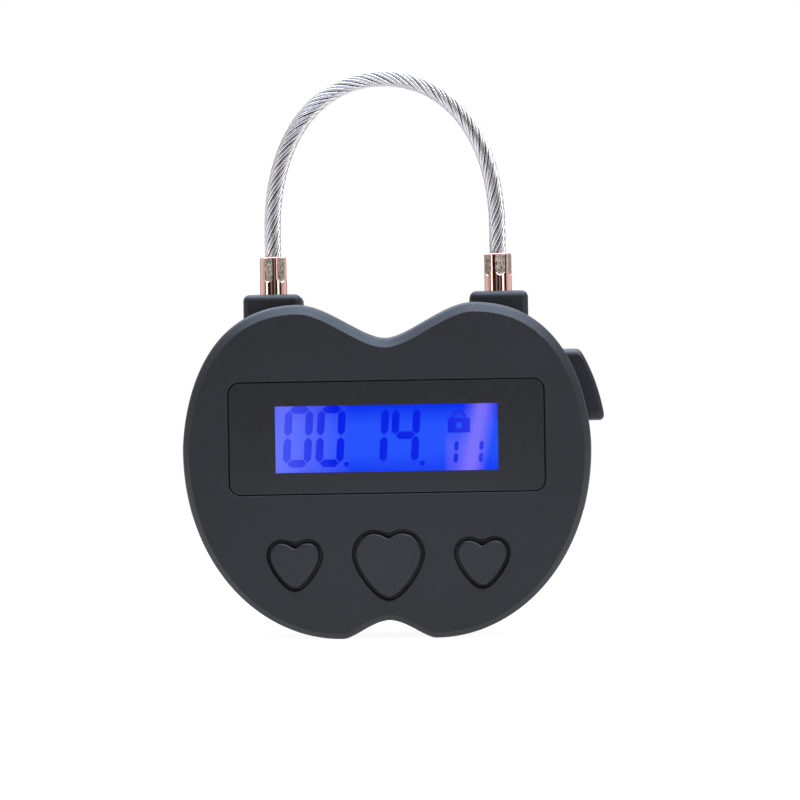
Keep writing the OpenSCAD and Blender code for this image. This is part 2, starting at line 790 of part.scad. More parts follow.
module latch_motor() {
    color(steel_colour) difference() {
        union() {
            rod_y(motor_place, motor_d / 2, motor_y, back_in_y - seat_gap);
            rod_y(motor_place, axle_boss_r, motor_y - piece_gap, motor_y + slip);
        }
        rod_y(motor_place, axle_r + slip, motor_y - through_cut, shaft_end_y + seat_gap);
    }
}

module motor_shaft() {
    color(steel_colour) rod_y(motor_place, axle_r, wheel_y - seat_gap, shaft_end_y);
}

module motor_pinion() {
    color(brass_colour) difference() {
        translate([motor_place[0], 0, motor_place[1]]) slab(wheel_y - seat_gap, wheel_y + wheel_t + seat_gap)
            rotate(motor_way + 90 + 180 / pinion_teeth) polygon(gear_points(pinion_teeth));
        rod_y(motor_place, axle_r + press_gap, wheel_y - through_cut, motor_y);
    }
}

module reduction_gear() {
    color([0.90, 0.88, 0.82]) difference() {
        union() {
            translate([gear_place[0], 0, gear_place[1]]) {
                slab(wheel_y, wheel_y + wheel_t) rotate(motor_way - 90) polygon(gear_points(wheel_teeth));
                slab(wheel_y + wheel_t - slip, pinion_end_y) polygon(gear_points(pinion_teeth));
            }
            rod_y(gear_place, 2 * axle_r, bracket_y + bracket_t + slip, wheel_y + slip);
        }
        rod_y(gear_place, axle_r + slip, bracket_y, axle_boss_y);
    }
}

module gear_axle() {
    color(steel_colour) rod_y(gear_place, axle_r, bracket_y, axle_end_y);
}

// Bar of a given width between two places in X and Z, round at both ends
module link(a, b, w) {
    translate(a) circle(w / 2);
    translate(b) circle(w / 2);
    translate(a) rotate(atan2(b[1] - a[1], b[0] - a[0])) translate([0, -w / 2])
        square([norm(b - a), w]);
}

module gear_bracket() {
    color(steel_colour) slab(bracket_y, bracket_y + bracket_t) difference() {
        union() {
            link(bracket_post_a, gear_place, 2 * bracket_post_r);
            link(gear_place, bracket_post_b, 2 * bracket_post_r);
        }
        translate(gear_place) circle(axle_r + press_gap);
        for (p = [bracket_post_a, bracket_post_b]) translate(p) circle(small_shank_r + seat_gap);
    }
}

// Latch bolt: a rack with a blade that slides into the locking pin's groove
blade_h = 1.2;
blade_reach = 0.75;
bolt_tail = 4;
bolt_nose = 7;
bolt_left = gear_x - bolt_tail;
blade_left = gear_x + bolt_nose;
rack_teeth = 3;
groove_h = 2;
blade_tip = leg_x - pin_d / 2 + blade_reach - latch_travel;
module latch_bolt() {
    low = latch_z - bolt_h / 2;
    root = tooth_pitch / 2 - tooth_play + 2 * root_share * gear_m * tan(pressure_angle);
    tip = tooth_pitch / 2 - tooth_play - 2 * tip_share * gear_m * tan(pressure_angle);
    deep = (root_share + tip_share) * gear_m;
    color(steel_colour) {
        slab(bolt_y0, bolt_y1) {
            translate([bolt_left, low]) square([blade_left - bolt_left, bolt_h]);
            translate([blade_left - slip, latch_z - blade_h / 2])
                square([blade_tip - blade_left + slip, blade_h]);
            for (k = [-rack_teeth:rack_teeth - 1])
                translate([gear_place[0] + (k + 0.5) * tooth_pitch, low])
                    polygon([[-root / 2, slip], [-root / 2, 0], [-tip / 2, -deep], [tip / 2, -deep],
                        [root / 2, 0], [root / 2, slip]]);
        }
    }
}

// Blocks that hold the two ends of the shackle
block_half_w = 4.5;
block_in = 1;
block_back = 3.1;
block_drop = 4.4;
block_floor = 1.1;
block_front_y = split_y + block_in;
block_back_y = shackle_y + block_back;
block_top = boss_low - slip;
block_low = latch_z - block_drop;
pin_end_z = block_low + block_floor;
guide_cover = 1.6;
guide_left = blade_left - guide_cover;
guide_wall = 1;
guide_round = 2.1;
block_boss_r = 1.5;
block_screw_x = 3.3;
block_screw_drop = 1.95;
block_screw_seat = 0.6;
block_screw_z = block_top - block_screw_drop;
block_places = [for (side = [-1, 1], k = [-1, 1]) [side * leg_x + k * block_screw_x, block_screw_z]];
block_screw_end = back_in_y - block_screw_seat;
block_head_r = 1.2;

module end_block(side) {
    difference() {
        block([side * leg_x - block_half_w, block_front_y, block_low],
            [side * leg_x + block_half_w, block_back_y, block_top]);
        translate([side * leg_x, shackle_y, pin_end_z - seat_gap])
            cylinder(r = pin_d / 2 + seat_gap, h = body_w);
        for (p = block_places)
            rod_y(p, small_shank_r + seat_gap, block_front_y - through_cut, block_back_y + through_cut);
    }
}

module lock_block() {
    color(zinc_colour) difference() {
        union() {
            end_block(1);
            block([guide_left, bolt_y0 - guide_wall, latch_z - guide_round],
                [leg_x - block_half_w + slip, bolt_y1 + guide_wall, latch_z + guide_round]);
        }
        block([guide_left - through_cut, bolt_y0 - slip, latch_z - bolt_h / 2 - slip],
            [blade_left + latch_travel + piece_gap, bolt_y1 + slip, latch_z + bolt_h / 2 + slip]);
        block([guide_left, bolt_y0 - slip, latch_z - blade_h / 2 - slip],
            [leg_x, bolt_y1 + slip, latch_z + blade_h / 2 + slip]);
    }
}

clip_t = 1;
clip_w = 4.6;
clip_left = 1.6;
module anchor_block() {
    color(zinc_colour) difference() {
        end_block(-1);
        block([-leg_x - clip_left - seat_gap, shackle_y - clip_w / 2 - seat_gap,
            latch_z - clip_t / 2 - seat_gap],
            [block_half_w - leg_x + through_cut, shackle_y + clip_w / 2 + seat_gap,
            latch_z + clip_t / 2 + seat_gap]);
    }
}

module anchor_clip() {
    color(steel_colour) translate([0, 0, latch_z - clip_t / 2]) linear_extrude(clip_t) difference() {
        translate([-leg_x - clip_left, shackle_y - clip_w / 2])
            square([clip_left + block_half_w, clip_w]);
        translate([-leg_x, shackle_y]) circle(groove_d / 2 + seat_gap);
        translate([-leg_x - clip_left - through_cut, shackle_y - groove_d / 2 - seat_gap])
            square([clip_left + through_cut, groove_d + 2 * seat_gap]);
    }
}

// Pins and ferrules at the ends of the rope
ferrule_seat = 2.2;
ferrule_low = boss_top - ferrule_seat;
ferrule_seat_z = ferrule_low - seat_gap;
ferrule_top = boss_top + ferrule_up;
ferrule_stem_r = 1.2;
ferrule_stem_h = 3;
ferrule_web = 0.6;
crimp_up = 2.9;
rope_low = ferrule_low + ferrule_stem_h + ferrule_web;
crimp_low = boss_top + crimp_up;
crimp_depth = 0.15;
crimp_sides = 6;
crimp_turn = 20;
nose_h = 1.2;
module end_pin(side) {
    r = pin_d / 2;
    groove_low = latch_z - groove_h / 2;
    color(steel_colour) translate([side * leg_x, shackle_y, 0]) rotate_extrude() polygon([
        [0, pin_end_z], [r - nose_h, pin_end_z], [r, pin_end_z + nose_h], [r, groove_low],
        [groove_d / 2, groove_low], [groove_d / 2, groove_low + groove_h], [r, groove_low + groove_h],
        [r, ferrule_low], [ferrule_stem_r, ferrule_low], [ferrule_stem_r, ferrule_low + ferrule_stem_h],
        [0, ferrule_low + ferrule_stem_h]]);
}

module ferrule(side) {
    color(nickel_colour) translate([side * leg_x, shackle_y, 0]) difference() {
        union() {
            translate([0, 0, ferrule_low]) cylinder(r = ferrule_d / 2, h = crimp_low - ferrule_low);
            translate([0, 0, crimp_low - slip]) intersection() {
                cylinder(r = ferrule_d / 2, h = ferrule_top - crimp_low + slip);
                rotate(-crimp_turn) cylinder(r = (ferrule_d / 2 - crimp_depth) / cos(180 / crimp_sides),
                    h = ferrule_top - crimp_low + slip, $fn = crimp_sides);
            }
        }
        translate([0, 0, ferrule_low - through_cut])
            cylinder(r = ferrule_stem_r + press_gap, h = ferrule_stem_h + seat_gap + through_cut);
        translate([0, 0, rope_low - seat_gap])
            cylinder(r = rope_d / 2 + seat_gap, h = ferrule_top);
    }
}

module locking_pin() { end_pin(1); }
module anchor_pin() { end_pin(-1); }
module free_ferrule() { ferrule(1); }
module fixed_ferrule() { ferrule(-1); }

// Wire rope: two straight legs joined by a rounded arch
arch_leg_handle = 17;
arch_top_handle = 11.1;
rope_sides = 12;
arch_steps = 14;
half_route = concat(
    [[leg_x, rope_low], [leg_x, (rope_low + bend_z) / 2]],
    curve([leg_x, bend_z], [leg_x, bend_z + arch_leg_handle], [arch_top_handle, loop_h], [0, loop_h],
        arch_steps),
    [[0, loop_h]]);
rope_route = concat(half_route,
    [for (i = [len(half_route) - 2:-1:0]) [-half_route[i][0], half_route[i][1]]]);

module shackle_rope() {
    n = len(rope_route);
    rings = [for (i = [0:n - 1])
        let (way = unit(rope_route[min(i + 1, n - 1)] - rope_route[max(i - 1, 0)]), out = [-way[1], way[0]])
        for (k = [0:rope_sides - 1])
            let (a = 360 * (k + 0.5) / rope_sides, flat = rope_route[i] + cos(a) * rope_d / 2 * out)
            [flat[0], shackle_y + sin(a) * rope_d / 2, flat[1]]];
    sides = [for (i = [0:n - 2], k = [0:rope_sides - 1])
        let (j = (k + 1) % rope_sides)
        [i * rope_sides + k, i * rope_sides + j, (i + 1) * rope_sides + j, (i + 1) * rope_sides + k]];
    first = [for (k = [rope_sides - 1:-1:0]) k];
    last = [for (k = [0:rope_sides - 1]) (n - 1) * rope_sides + k];
    color(steel_colour) polyhedron(points = rings, faces = concat([first], sides, [last]));
}

// Fasteners
module screw(place, seat_y, end_y, way, shank_r, head_r, head_t) {
    rod_y(place, shank_r, min(seat_y, end_y), max(seat_y, end_y));
    difference() {
        rod_y(place, head_r, min(seat_y, seat_y + way * head_t), max(seat_y, seat_y + way * head_t));
        for (turn = [0, 90]) translate([place[0], seat_y + way * head_t, place[1]]) rotate([0, turn, 0])
            cube([cross_length * head_r, head_t, cross_width * head_r], center = true);
    }
}

module case_screws() {
    color(steel_colour) for (p = case_places)
        screw(p, case_seat_y, case_screw_end, 1, case_shank_r, case_head_r, case_head_t);
}

module board_screws() {
    color(steel_colour) for (p = board_posts)
        screw(p, board_back_y, board_screw_end, 1, small_shank_r, small_head_r, small_head_t);
}

module block_screws() {
    color(steel_colour) for (p = block_places)
        screw(p, block_front_y, block_screw_end, -1, small_shank_r, block_head_r, small_head_t);
}

module bracket_screws() {
    color(steel_colour) for (p = [bracket_post_a, bracket_post_b])
        screw(p, bracket_y, bracket_screw_end, -1, small_shank_r, small_head_r, small_head_t);
}

front_shell();
rear_shell();
display_lens();
lens_mask();
lcd_glass();
lcd_segments();
lcd_backlight();
lcd_connector();
main_board();
board_parts();
tact_switches();
hour_button();
lock_button();
minute_button();
hour_plunger();
lock_plunger();
minute_plunger();
power_button();
power_plunger();
power_switch();
charging_jack();
battery();
battery_pad();
battery_leads();
motor_leads();
latch_motor();
motor_shaft();
motor_pinion();
reduction_gear();
gear_axle();
gear_bracket();
latch_bolt();
lock_block();
anchor_block();
locking_pin();
anchor_pin();
anchor_clip();
free_ferrule();
fixed_ferrule();
shackle_rope();
case_screws();
board_screws();
block_screws();
bracket_screws();
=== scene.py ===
"""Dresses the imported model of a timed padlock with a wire-rope shackle."""
import math

import bmesh
import bpy
from mathutils import Matrix, Vector
from mathutils.geometry import intersect_line_line_2d


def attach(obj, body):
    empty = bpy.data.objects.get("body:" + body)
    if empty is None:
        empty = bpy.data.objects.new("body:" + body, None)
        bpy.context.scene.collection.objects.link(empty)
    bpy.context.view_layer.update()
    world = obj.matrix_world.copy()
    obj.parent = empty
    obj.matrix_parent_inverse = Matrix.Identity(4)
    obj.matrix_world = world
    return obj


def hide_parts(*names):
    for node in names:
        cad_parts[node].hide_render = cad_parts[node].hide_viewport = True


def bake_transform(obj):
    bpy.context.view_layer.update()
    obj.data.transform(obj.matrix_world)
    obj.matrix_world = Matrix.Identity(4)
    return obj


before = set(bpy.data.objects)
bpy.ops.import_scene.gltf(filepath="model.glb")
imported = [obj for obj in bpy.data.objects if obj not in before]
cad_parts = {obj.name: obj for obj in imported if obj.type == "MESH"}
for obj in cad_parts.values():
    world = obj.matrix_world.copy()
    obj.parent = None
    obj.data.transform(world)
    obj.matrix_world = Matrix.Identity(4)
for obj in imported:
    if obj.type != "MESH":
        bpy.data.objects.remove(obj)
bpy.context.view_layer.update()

bl_info = {
    "name": "Timed Padlock",
    "version": (1, 0, 0),
    "blender": (4, 5, 0),
    "location": "3D View > Sidebar > Timed Padlock",
    "description": "Builds the visible pieces of a timed padlock and the stage that it stands on",
    "category": "Object",
}

MM = 0.001

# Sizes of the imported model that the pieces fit, in millimetres. SINK is how far a post runs
# into the wall that it stands on, and BEYOND is a distance outside the body.
FRONT_Y = -11.0
SPLIT_Y = -2.0
BACK_Y = 11.0
FACE_IN_Y = -9.0
BACK_IN_Y = 9.0
WALL = 1.8
LENS_BACK_Y = -9.8
CAP_PROUD = 0.6
SINK = 0.05
BOARD_Y = -4.9
SHACKLE_Y = 3.5
LEG_X = 19.8
BOSS_TOP = 59.7
BOSS_LOW = 52.8
BOSS_SIZE = (10.2, 10)
PIN_HOLE_R = 2.1
FERRULE_HOLE_R, FERRULE_SEAT = 2.5, 57.4
CASE_PLACES = [(side * x, z) for side in (-1, 1) for x, z in ((9, 52.084), (27.851, 25.2))]
BOARD_PLACES = [(side * x, z) for side in (-1, 1) for x, z in ((21.5, 22.6), (16, 47.5))]
BLOCK_PLACES = [(side * LEG_X + k * 3.3, 50.8) for side in (-1, 1) for k in (-1, 1)]
BRACKET_PLACES = [(-2.2, 46.5), (12.5, 39.8)]
GEAR_PLACE = (5.5, 43.56)
MOTOR_PLACE = (-0.681, 40.678)
BATTERY_PLACE = (0, 17)
BATTERY_ROOM, BATTERY_RIB = (34.6, 22.6), 1.0
JACK_PLACE = (-1.2, 17.8)
JACK_FACE_X, JACK_HOLE_R = -28.3, 2.6
POWER_IN_X = 29.783
POWER_Z = (36.8, 49.4)
POWER_Y = (SHACKLE_Y - 4, SHACKLE_Y + 4)
POWER_CORNER, POWER_GAP = 1.5, 0.1
LENS_PLACE, LENS_SIZE, LENS_CORNER = (0, 34.5), (53.85, 19.1), 1.85
LENS_GAP = 0.15
WINDOW_PLACE, WINDOW_SIZE = (0, 34.3), (38.1, 11.4)
DISPLAY_ROOM = (43.6, 16)
PILOT_R = 0.85
SCREW_BORE_R, SCREW_WELL_R, SCREW_SEAT_Y = 1.05, 2, 3
BEYOND = 45

# Posts of each shell: places, radius, the end inside the case and the sides of the circle
FRONT_POSTS = [(CASE_PLACES, 2.3, SPLIT_Y, 64), (BOARD_PLACES, 1.8, BOARD_Y, 64)]
REAR_POSTS = [
    (CASE_PLACES, 2.8, SPLIT_Y + 0.05, 64), (BLOCK_PLACES, 1.5, 6.6, 40),
    (BRACKET_PLACES, 1.6, -1.7, 40), ([GEAR_PLACE], 1.5, 5.5, 40), ([MOTOR_PLACE], 5, 5.5, 64),
]
# Holes in them: places, radius, both ends and the sides of the circle
FRONT_HOLES = [
    (CASE_PLACES, 1.0, -5.7, SPLIT_Y + 1, 32), (BOARD_PLACES, PILOT_R, -7.6, BOARD_Y + 1, 32),
]
REAR_HOLES = [
    (BLOCK_PLACES, PILOT_R, 5.6, 8.5, 32), (BRACKET_PLACES, PILOT_R, -2.3, 2.4, 32),
    ([GEAR_PLACE], 0.52, 4.5, 8.6, 24), ([MOTOR_PLACE], 4.1, 4.5, BACK_IN_Y, 64),
]

# Keys of each half of the body's outline: start, two handles, end and steps of every curve
OUTLINE_KEYS = [
    ((0, 51.5), (3.9, 51.5), (10, 57.4), (15, 57.4), 22),
    ((15, 57.4), (33.5, 57.4), (35, 36.2), (35, 32.4), 40),
    ((35, 32.4), (35, 13.4), (22.6, 0), (8, 0), 44),
    ((8, 0), (6.2, 0), (2.7, 3.1), (0, 3.1), 18),
]
# First and last point of the outline's upper side, from the lobe to the widest part
UPPER_SIDE = (22, 62)

# How far from the middle the notch of a heart's opening is softened
NOTCH_REACH = 0.8
# Heart buttons: body, place, then width, height, notch depth, lobe and shoulder of the heart
HEARTS = {
    "hour_button": ((-16, 12.8), (8.3, 7.6, 0.9, 2.3, 2.1)),
    "lock_button": ((0, 12.6), (11.1, 10.8, 0.8, 2.46, 3.5)),
    "minute_button": ((16, 12.8), (8.3, 7.6, 0.9, 2.3, 2.1)),
}


# ---- Sizes and colours that a user would change
def length(name, description, default):
    return bpy.props.FloatProperty(
        name=name, description=description, default=default, min=0, precision=5,
        subtype="DISTANCE", unit="LENGTH")


def colour(name, description, default):
    return bpy.props.FloatVectorProperty(
        name=name, description=description, default=default, size=3, min=0, max=1, subtype="COLOR")


def amount(name, description, default):
    return bpy.props.FloatProperty(name=name, description=description, default=default, min=0)


class PadlockBody(bpy.types.PropertyGroup):
    rim_width: length("Rim width", "Width of the bevelled front rim at the sides", 0.0012)
    rim_depth: length("Rim depth", "Depth of the flat part of the front rim", 0.0009)
    rim_round: length("Rim rounding", "Width of the rounding outside the rim's flat part", 0.0004)
    back_round: length("Back rounding", "Radius of the rounding round the back", 0.002)
    seam_round: length("Seam rounding", "Radius of the edges where the two shells meet", 0.0001)
    opening_round: length("Opening rounding", "Radius of the edges of the front openings", 0.00032)
    boss_round: length("Boss rounding", "Radius of the edges of the two shackle bosses", 0.0012)
    shell_colour: colour("Shell colour", "Colour of the moulded shells", (0.0082, 0.0078, 0.0100))
    grain: length("Grain", "Size of the grain on the moulded shells", 0.00022)


class PadlockDisplay(bpy.types.PropertyGroup):
    lens_edge: length("Lens edge", "Radius of the front edge of the lens", 0.00018)
    field_colour: colour("Field colour", "Colour of the lit display", (0.016, 0.086, 0.96))
    edge_colour: colour("Edge colour", "Colour of the display at its edges", (0.001, 0.03, 0.88))
    left_colour: colour("Left glow", "Colour of the glow at the left end", (0.165, 0.205, 0.98))
    right_colour: colour("Right glow", "Colour of the glow at the right end", (0.235, 0.185, 0.97))
    ink_colour: colour("Digit colour", "Colour of the digits", (0.0, 0.012, 0.80))
    brightness: amount("Brightness", "Strength of the display's light", 1.0)


class PadlockButtons(bpy.types.PropertyGroup):
    gap: length("Gap", "Gap between a heart button and its opening", 0.00055)
    cap_round: length("Cap rounding", "Radius of the front edge of the heart buttons", 0.00036)
    power_round: length("Power button rounding", "Radius of the power button's outer edges", 0.0007)
    button_colour: colour("Button colour", "Colour of the buttons", (0.0092, 0.0088, 0.0120))


class PadlockShackle(bpy.types.PropertyGroup):
    rope_diameter: length("Rope diameter", "Diameter of the wire rope", 0.003)
    lay_length: length("Lay length", "Length over which a strand winds once round the rope", 0.0155)
    steel_colour: colour("Steel colour", "Colour of the rope's wires", (0.53, 0.505, 0.51))
    ferrule_colour: colour("Ferrule colour", "Colour of the plated ferrules", (0.90, 0.54, 0.47))
    crimp_colour: colour("Crimp colour", "Colour of the crimped flats", (0.33, 0.265, 0.215))


class PadlockStage(bpy.types.PropertyGroup):
    camera_distance: length("Camera distance", "Distance of the camera from the origin", 0.461)
    focal_length: bpy.props.FloatProperty(
        name="Focal length", description="Focal length of the camera in millimetres",
        default=118.7, min=20, unit="CAMERA")
    roll: bpy.props.FloatProperty(
        name="Roll", description="Roll of the camera about its line of sight",
        default=math.radians(0.95), subtype="ANGLE")
    paper_colour: colour("Paper colour", "Colour of the floor", (0.2, 0.2, 0.2))
    brightness: amount("Brightness", "Strength of the studio light", 1.0)


# ---- Loops and solids, drawn in millimetres
def bezier(a, b, c, d, steps):
    a, b, c, d = (Vector(p) for p in (a, b, c, d))
    points = []
    for k in range(steps):
        t = k / steps
        u = 1 - t
        points.append(u**3 * a + 3 * u * u * t * b + 3 * u * t * t * c + t**3 * d)
    return points


def mirrored(half):
    return half + [Vector((-p.x, p.y)) for p in reversed(half[1:-1])]


def body_half():
    points = [p for key in OUTLINE_KEYS for p in bezier(*key)]
    return points + [Vector(OUTLINE_KEYS[-1][3])]


def outward(loop, i):
    way = (loop[(i + 1) % len(loop)] - loop[i - 1]).normalized()
    return Vector((-way.y, way.x))


def rim_share(way):
    """Width of the rim for the way that it faces, as a share of its width at the sides"""
    return 1 + (0.45 * way.y if way.y > 0 else 0.15 * way.y)


def inset(loop, by, share=lambda way: 1):
    """A closed loop moved inwards, without the folds that a tight bend would make"""
    n = len(loop)
    moved = [p - by * share(outward(loop, i)) * outward(loop, i) for i, p in enumerate(loop)]
    if by <= 0:
        return moved
    for i in range(n - 1):
        for j in range(min(i + 16, n - 2), i + 1, -1):
            meet = intersect_line_line_2d(moved[i], moved[i + 1], moved[j], moved[j + 1])
            if meet:
                moved[i + 1:j + 1] = [meet] * (j - i)
                break
    return moved


def ring(place, radii):
    """A loop round a place, from its radius at each of its even turns"""
    turns = [2 * math.pi * k / len(radii) for k in range(len(radii))]
    return [Vector((place[0] + r * math.cos(a), place[1] + r * math.sin(a)))
            for a, r in zip(turns, radii)]


def circle(place, r, steps=64):
    return [Vector((place[0] + r * math.sin(2 * math.pi * k / steps),
                    place[1] + r * math.cos(2 * math.pi * k / steps))) for k in range(steps)]


def rounded_box(place, w, h, r, steps=10):
    """A rectangle with round corners, starting at the right of its top edge"""
    loop = []
    for turn, (sx, sz) in enumerate(((1, 1), (1, -1), (-1, -1), (-1, 1))):
        for k in range(steps + 1):
            a = math.radians(90 * turn + 90 * k / steps)
            loop.append(Vector((place[0] + sx * (w / 2 - r) + r * math.sin(a),
                                place[1] + sz * (h / 2 - r) + r * math.cos(a))))
    return loop


def grown_box(place, size, r, by):
    return rounded_box(place, size[0] + 2 * by, size[1] + 2 * by, r + by)


def quarter(width, steps=8, start=0.0):
    """(distance in from the edge, distance down from the face) round an arc that ends upright
    and starts at an angle to the face, in radians"""
    r = width / (1 - math.sin(start))
    turns = [start + (math.pi / 2 - start) * k / steps for k in range(steps + 1)]
    return [(r * (1 - math.sin(a)), r * (math.cos(start) - math.cos(a))) for a in turns]


def at(axis, u, v, t):
    return {"X": (t, u, v), "Y": (u, t, v), "Z": (u, v, t)}[axis]


def linked(name, bm):
    """An object of the scene made from a bmesh, which is used up"""
    mesh = bpy.data.meshes.new(name)
    bm.to_mesh(mesh)
    bm.free()
    made = bpy.data.objects.new(name, mesh)
    bpy.context.scene.collection.objects.link(made)
    return made


def skin(bm, rows):
    """Faces between rows of vertices, closed at both ends"""
    for low, high in zip(rows, rows[1:]):
        for i in range(len(low)):
            bm.faces.new((low[i - 1], low[i], high[i], high[i - 1]))
    bm.faces.new(rows[0])
    bm.faces.new(rows[-1])


def solid(levels, axis="Y"):
    """A closed solid through loops of equal counts, each given with its place along an axis"""
    bm = bmesh.new()
    skin(bm, [[bm.verts.new(at(axis, p[0], p[1], t)) for p in loop] for loop, t in levels])
    bmesh.ops.remove_doubles(bm, verts=bm.verts, dist=0.0005)
    bmesh.ops.dissolve_degenerate(bm, edges=bm.edges, dist=0.0002)
    bmesh.ops.recalc_face_normals(bm, faces=bm.faces)
    return linked("blank", bm)


def turned(place, profile, axis="Y", steps=64):
    """A solid turned about a line along an axis, from (radius, distance along it) pairs"""
    return solid([(circle(place, r, steps), t) for r, t in profile], axis)


def rod(place, r, low, high, axis="Y", steps=64):
    return turned(place, [(r, low), (r, high)], axis, steps)


def slab(loop, low, high, axis="Y"):
    return solid([(loop, low), (loop, high)], axis)


def combine(piece, tools, way):
    """Joins the tools to a piece or cuts them out of it, then drops them"""
    for tool in tools:
        cut = piece.modifiers.new(way, "BOOLEAN")
        cut.operation = way
        cut.solver = "EXACT"
        cut.object = tool
    bpy.context.view_layer.update()
    found = piece.evaluated_get(bpy.context.evaluated_depsgraph_get())
    mesh = bpy.data.meshes.new_from_object(found)
    old = piece.data
    piece.modifiers.clear()
    piece.data = mesh
    bpy.data.meshes.remove(old)
    for tool in tools:
        old = tool.data
        bpy.data.objects.remove(tool)
        bpy.data.meshes.remove(old)


def smooth(mesh, sharp):
    """Shades a mesh smooth but for edges over an angle in degrees"""
    mesh.polygons.foreach_set("use_smooth", [True] * len(mesh.polygons))
    mesh.set_sharp_from_angle(angle=math.radians(sharp))


def finished(piece, name, materials, body, node, sharp=30):
    """Names, scales, smooths and dresses a piece, and gives it its place in the frame"""
    piece.name = piece.data.name = name
    piece.data.transform(Matrix.Scale(MM, 4))
    smooth(piece.data, sharp)
    for material in materials:
        piece.data.materials.append(material)
    weighted = piece.modifiers.new("Even shading", "WEIGHTED_NORMAL")
    weighted.keep_sharp = True
    weighted.weight = 100
    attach(piece, body)
    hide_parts(node)


# ---- Finishes
class Graph:
    """Short calls to fill a node tree"""

    def __init__(self, owner):
        owner.use_nodes = True
        self.tree = owner.node_tree
        self.tree.nodes.clear()

    def node(self, kind, inputs=(), **values):
        made = self.tree.nodes.new("ShaderNode" + kind)
        for key, value in values.items():
            setattr(made, key, value)
        for socket, value in dict(inputs).items():
            if isinstance(value, bpy.types.NodeSocket):
                self.link(value, made.inputs[socket])
            else:
                made.inputs[socket].default_value = value
        return made

    def link(self, source, target):
        self.tree.links.new(source, target)

    def math(self, operation, *values):
        return self.node("Math", dict(enumerate(values)), operation=operation).outputs[0]

    def mix(self, share, first, second):
        return self.node("MixRGB", {0: share, 1: first, 2: second}).outputs[0]

    def ramp(self, source, stops):
        made = self.node("ValToRGB", {"Fac": source})
        band = made.color_ramp
        while len(band.elements) < len(stops):
            band.elements.new(0.5)
        for element, (place, shade) in zip(band.elements, stops):
            element.position = place
            element.color = (*shade, 1)
        return made.outputs["Color"]

    def span(self, source, low, high, start=0.3, end=0.7):
        return self.node("MapRange", {
            "Value": source, "From Min": start, "From Max": end,
            "To Min": low, "To Max": high}).outputs["Result"]


class Finish(Graph):
    """A material with one Principled shader, and short calls for its sockets"""

    def __init__(self, name, **sockets):
        self.material = bpy.data.materials.new(name)
        super().__init__(self.material)
        self.shader = self.node("BsdfPrincipled")
        self.out = self.node("OutputMaterial", {"Surface": self.shader.outputs[0]})
        for socket, value in sockets.items():
            self.shader.inputs[socket.replace("_", " ")].default_value = value
        self.place = self.node("TexCoord").outputs["Object"]

    def drive(self, socket, source):
        self.link(source, self.shader.inputs[socket])

    def stretched(self, scale):
        return self.node("Mapping", {"Vector": self.place, "Scale": scale}).outputs[0]

    def noise(self, scale, detail=3, rough=0.55, where=None):
        return self.node("TexNoise", {
            "Vector": where or self.place, "Scale": scale, "Detail": detail,
            "Roughness": rough}).outputs["Fac"]

    def cells(self, scale, feature="F1"):
        return self.node("TexVoronoi", {"Vector": self.place, "Scale": scale},
                         feature=feature).outputs["Distance"]

    def bump(self, source, depth, strength=1.0):
        earlier = self.shader.inputs["Normal"].links
        inputs = {"Height": source, "Distance": depth, "Strength": strength}
        if earlier:
            inputs["Normal"] = earlier[0].from_socket
        self.drive("Normal", self.node("Bump", inputs).outputs[0])

    def tint(self, source, shade, spread, start=0.3, end=0.7):
        """Base colour that varies by a share about a shade"""
        dark = [max(0, c * (1 - spread)) for c in shade]
        light = [min(1, c * (1 + spread)) for c in shade]
        self.drive("Base Color", self.ramp(source, [(start, dark), (end, light)]))

    def roughness(self, source, low, high):
        self.drive("Roughness", self.span(source, low, high))


def moulded(name, shade, grain, depth, rough):
    """Spark-textured moulded plastic, made once: fine pits and soft sheen marks"""
    if name in bpy.data.materials:
        return bpy.data.materials[name]
    made = Finish(name, IOR=1.45, Specular_IOR_Level=0.42)
    fine = made.noise(1 / grain, 4, 0.6)
    broad = made.noise(90, 3)
    made.tint(broad, shade, 0.06)
    made.roughness(broad, rough - 0.05, rough + 0.05)
    made.bump(fine, depth)
    made.bump(made.cells(0.55 / grain, "SMOOTH_F1"), depth * 0.8, 0.6)
    return made.material


def plain_metal(name, shade, rough, scale=(1, 1, 1), grain=2500, depth=0.000006):
    """Metal with tool marks along one way"""
    made = Finish(name, Metallic=1.0)
    marks = made.noise(grain, 4, 0.6, made.stretched(scale))
    made.tint(marks, shade, 0.08)
    made.roughness(made.noise(300, 3), rough * 0.75, rough * 1.25)
    made.bump(marks, depth)
    return made.material


def plain_plastic(name, shade, rough):
    made = Finish(name)
    specks = made.noise(1500, 4)
    made.tint(specks, shade, 0.12)
    made.roughness(made.noise(250, 2), rough * 0.8, rough * 1.2)
    made.bump(specks, 0.00001)
    return made.material


def dress(node, material):
    """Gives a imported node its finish"""
    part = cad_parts[node]
    if not part.material_slots:
        part.data.materials.append(material)
    for place in part.material_slots:
        place.material = material


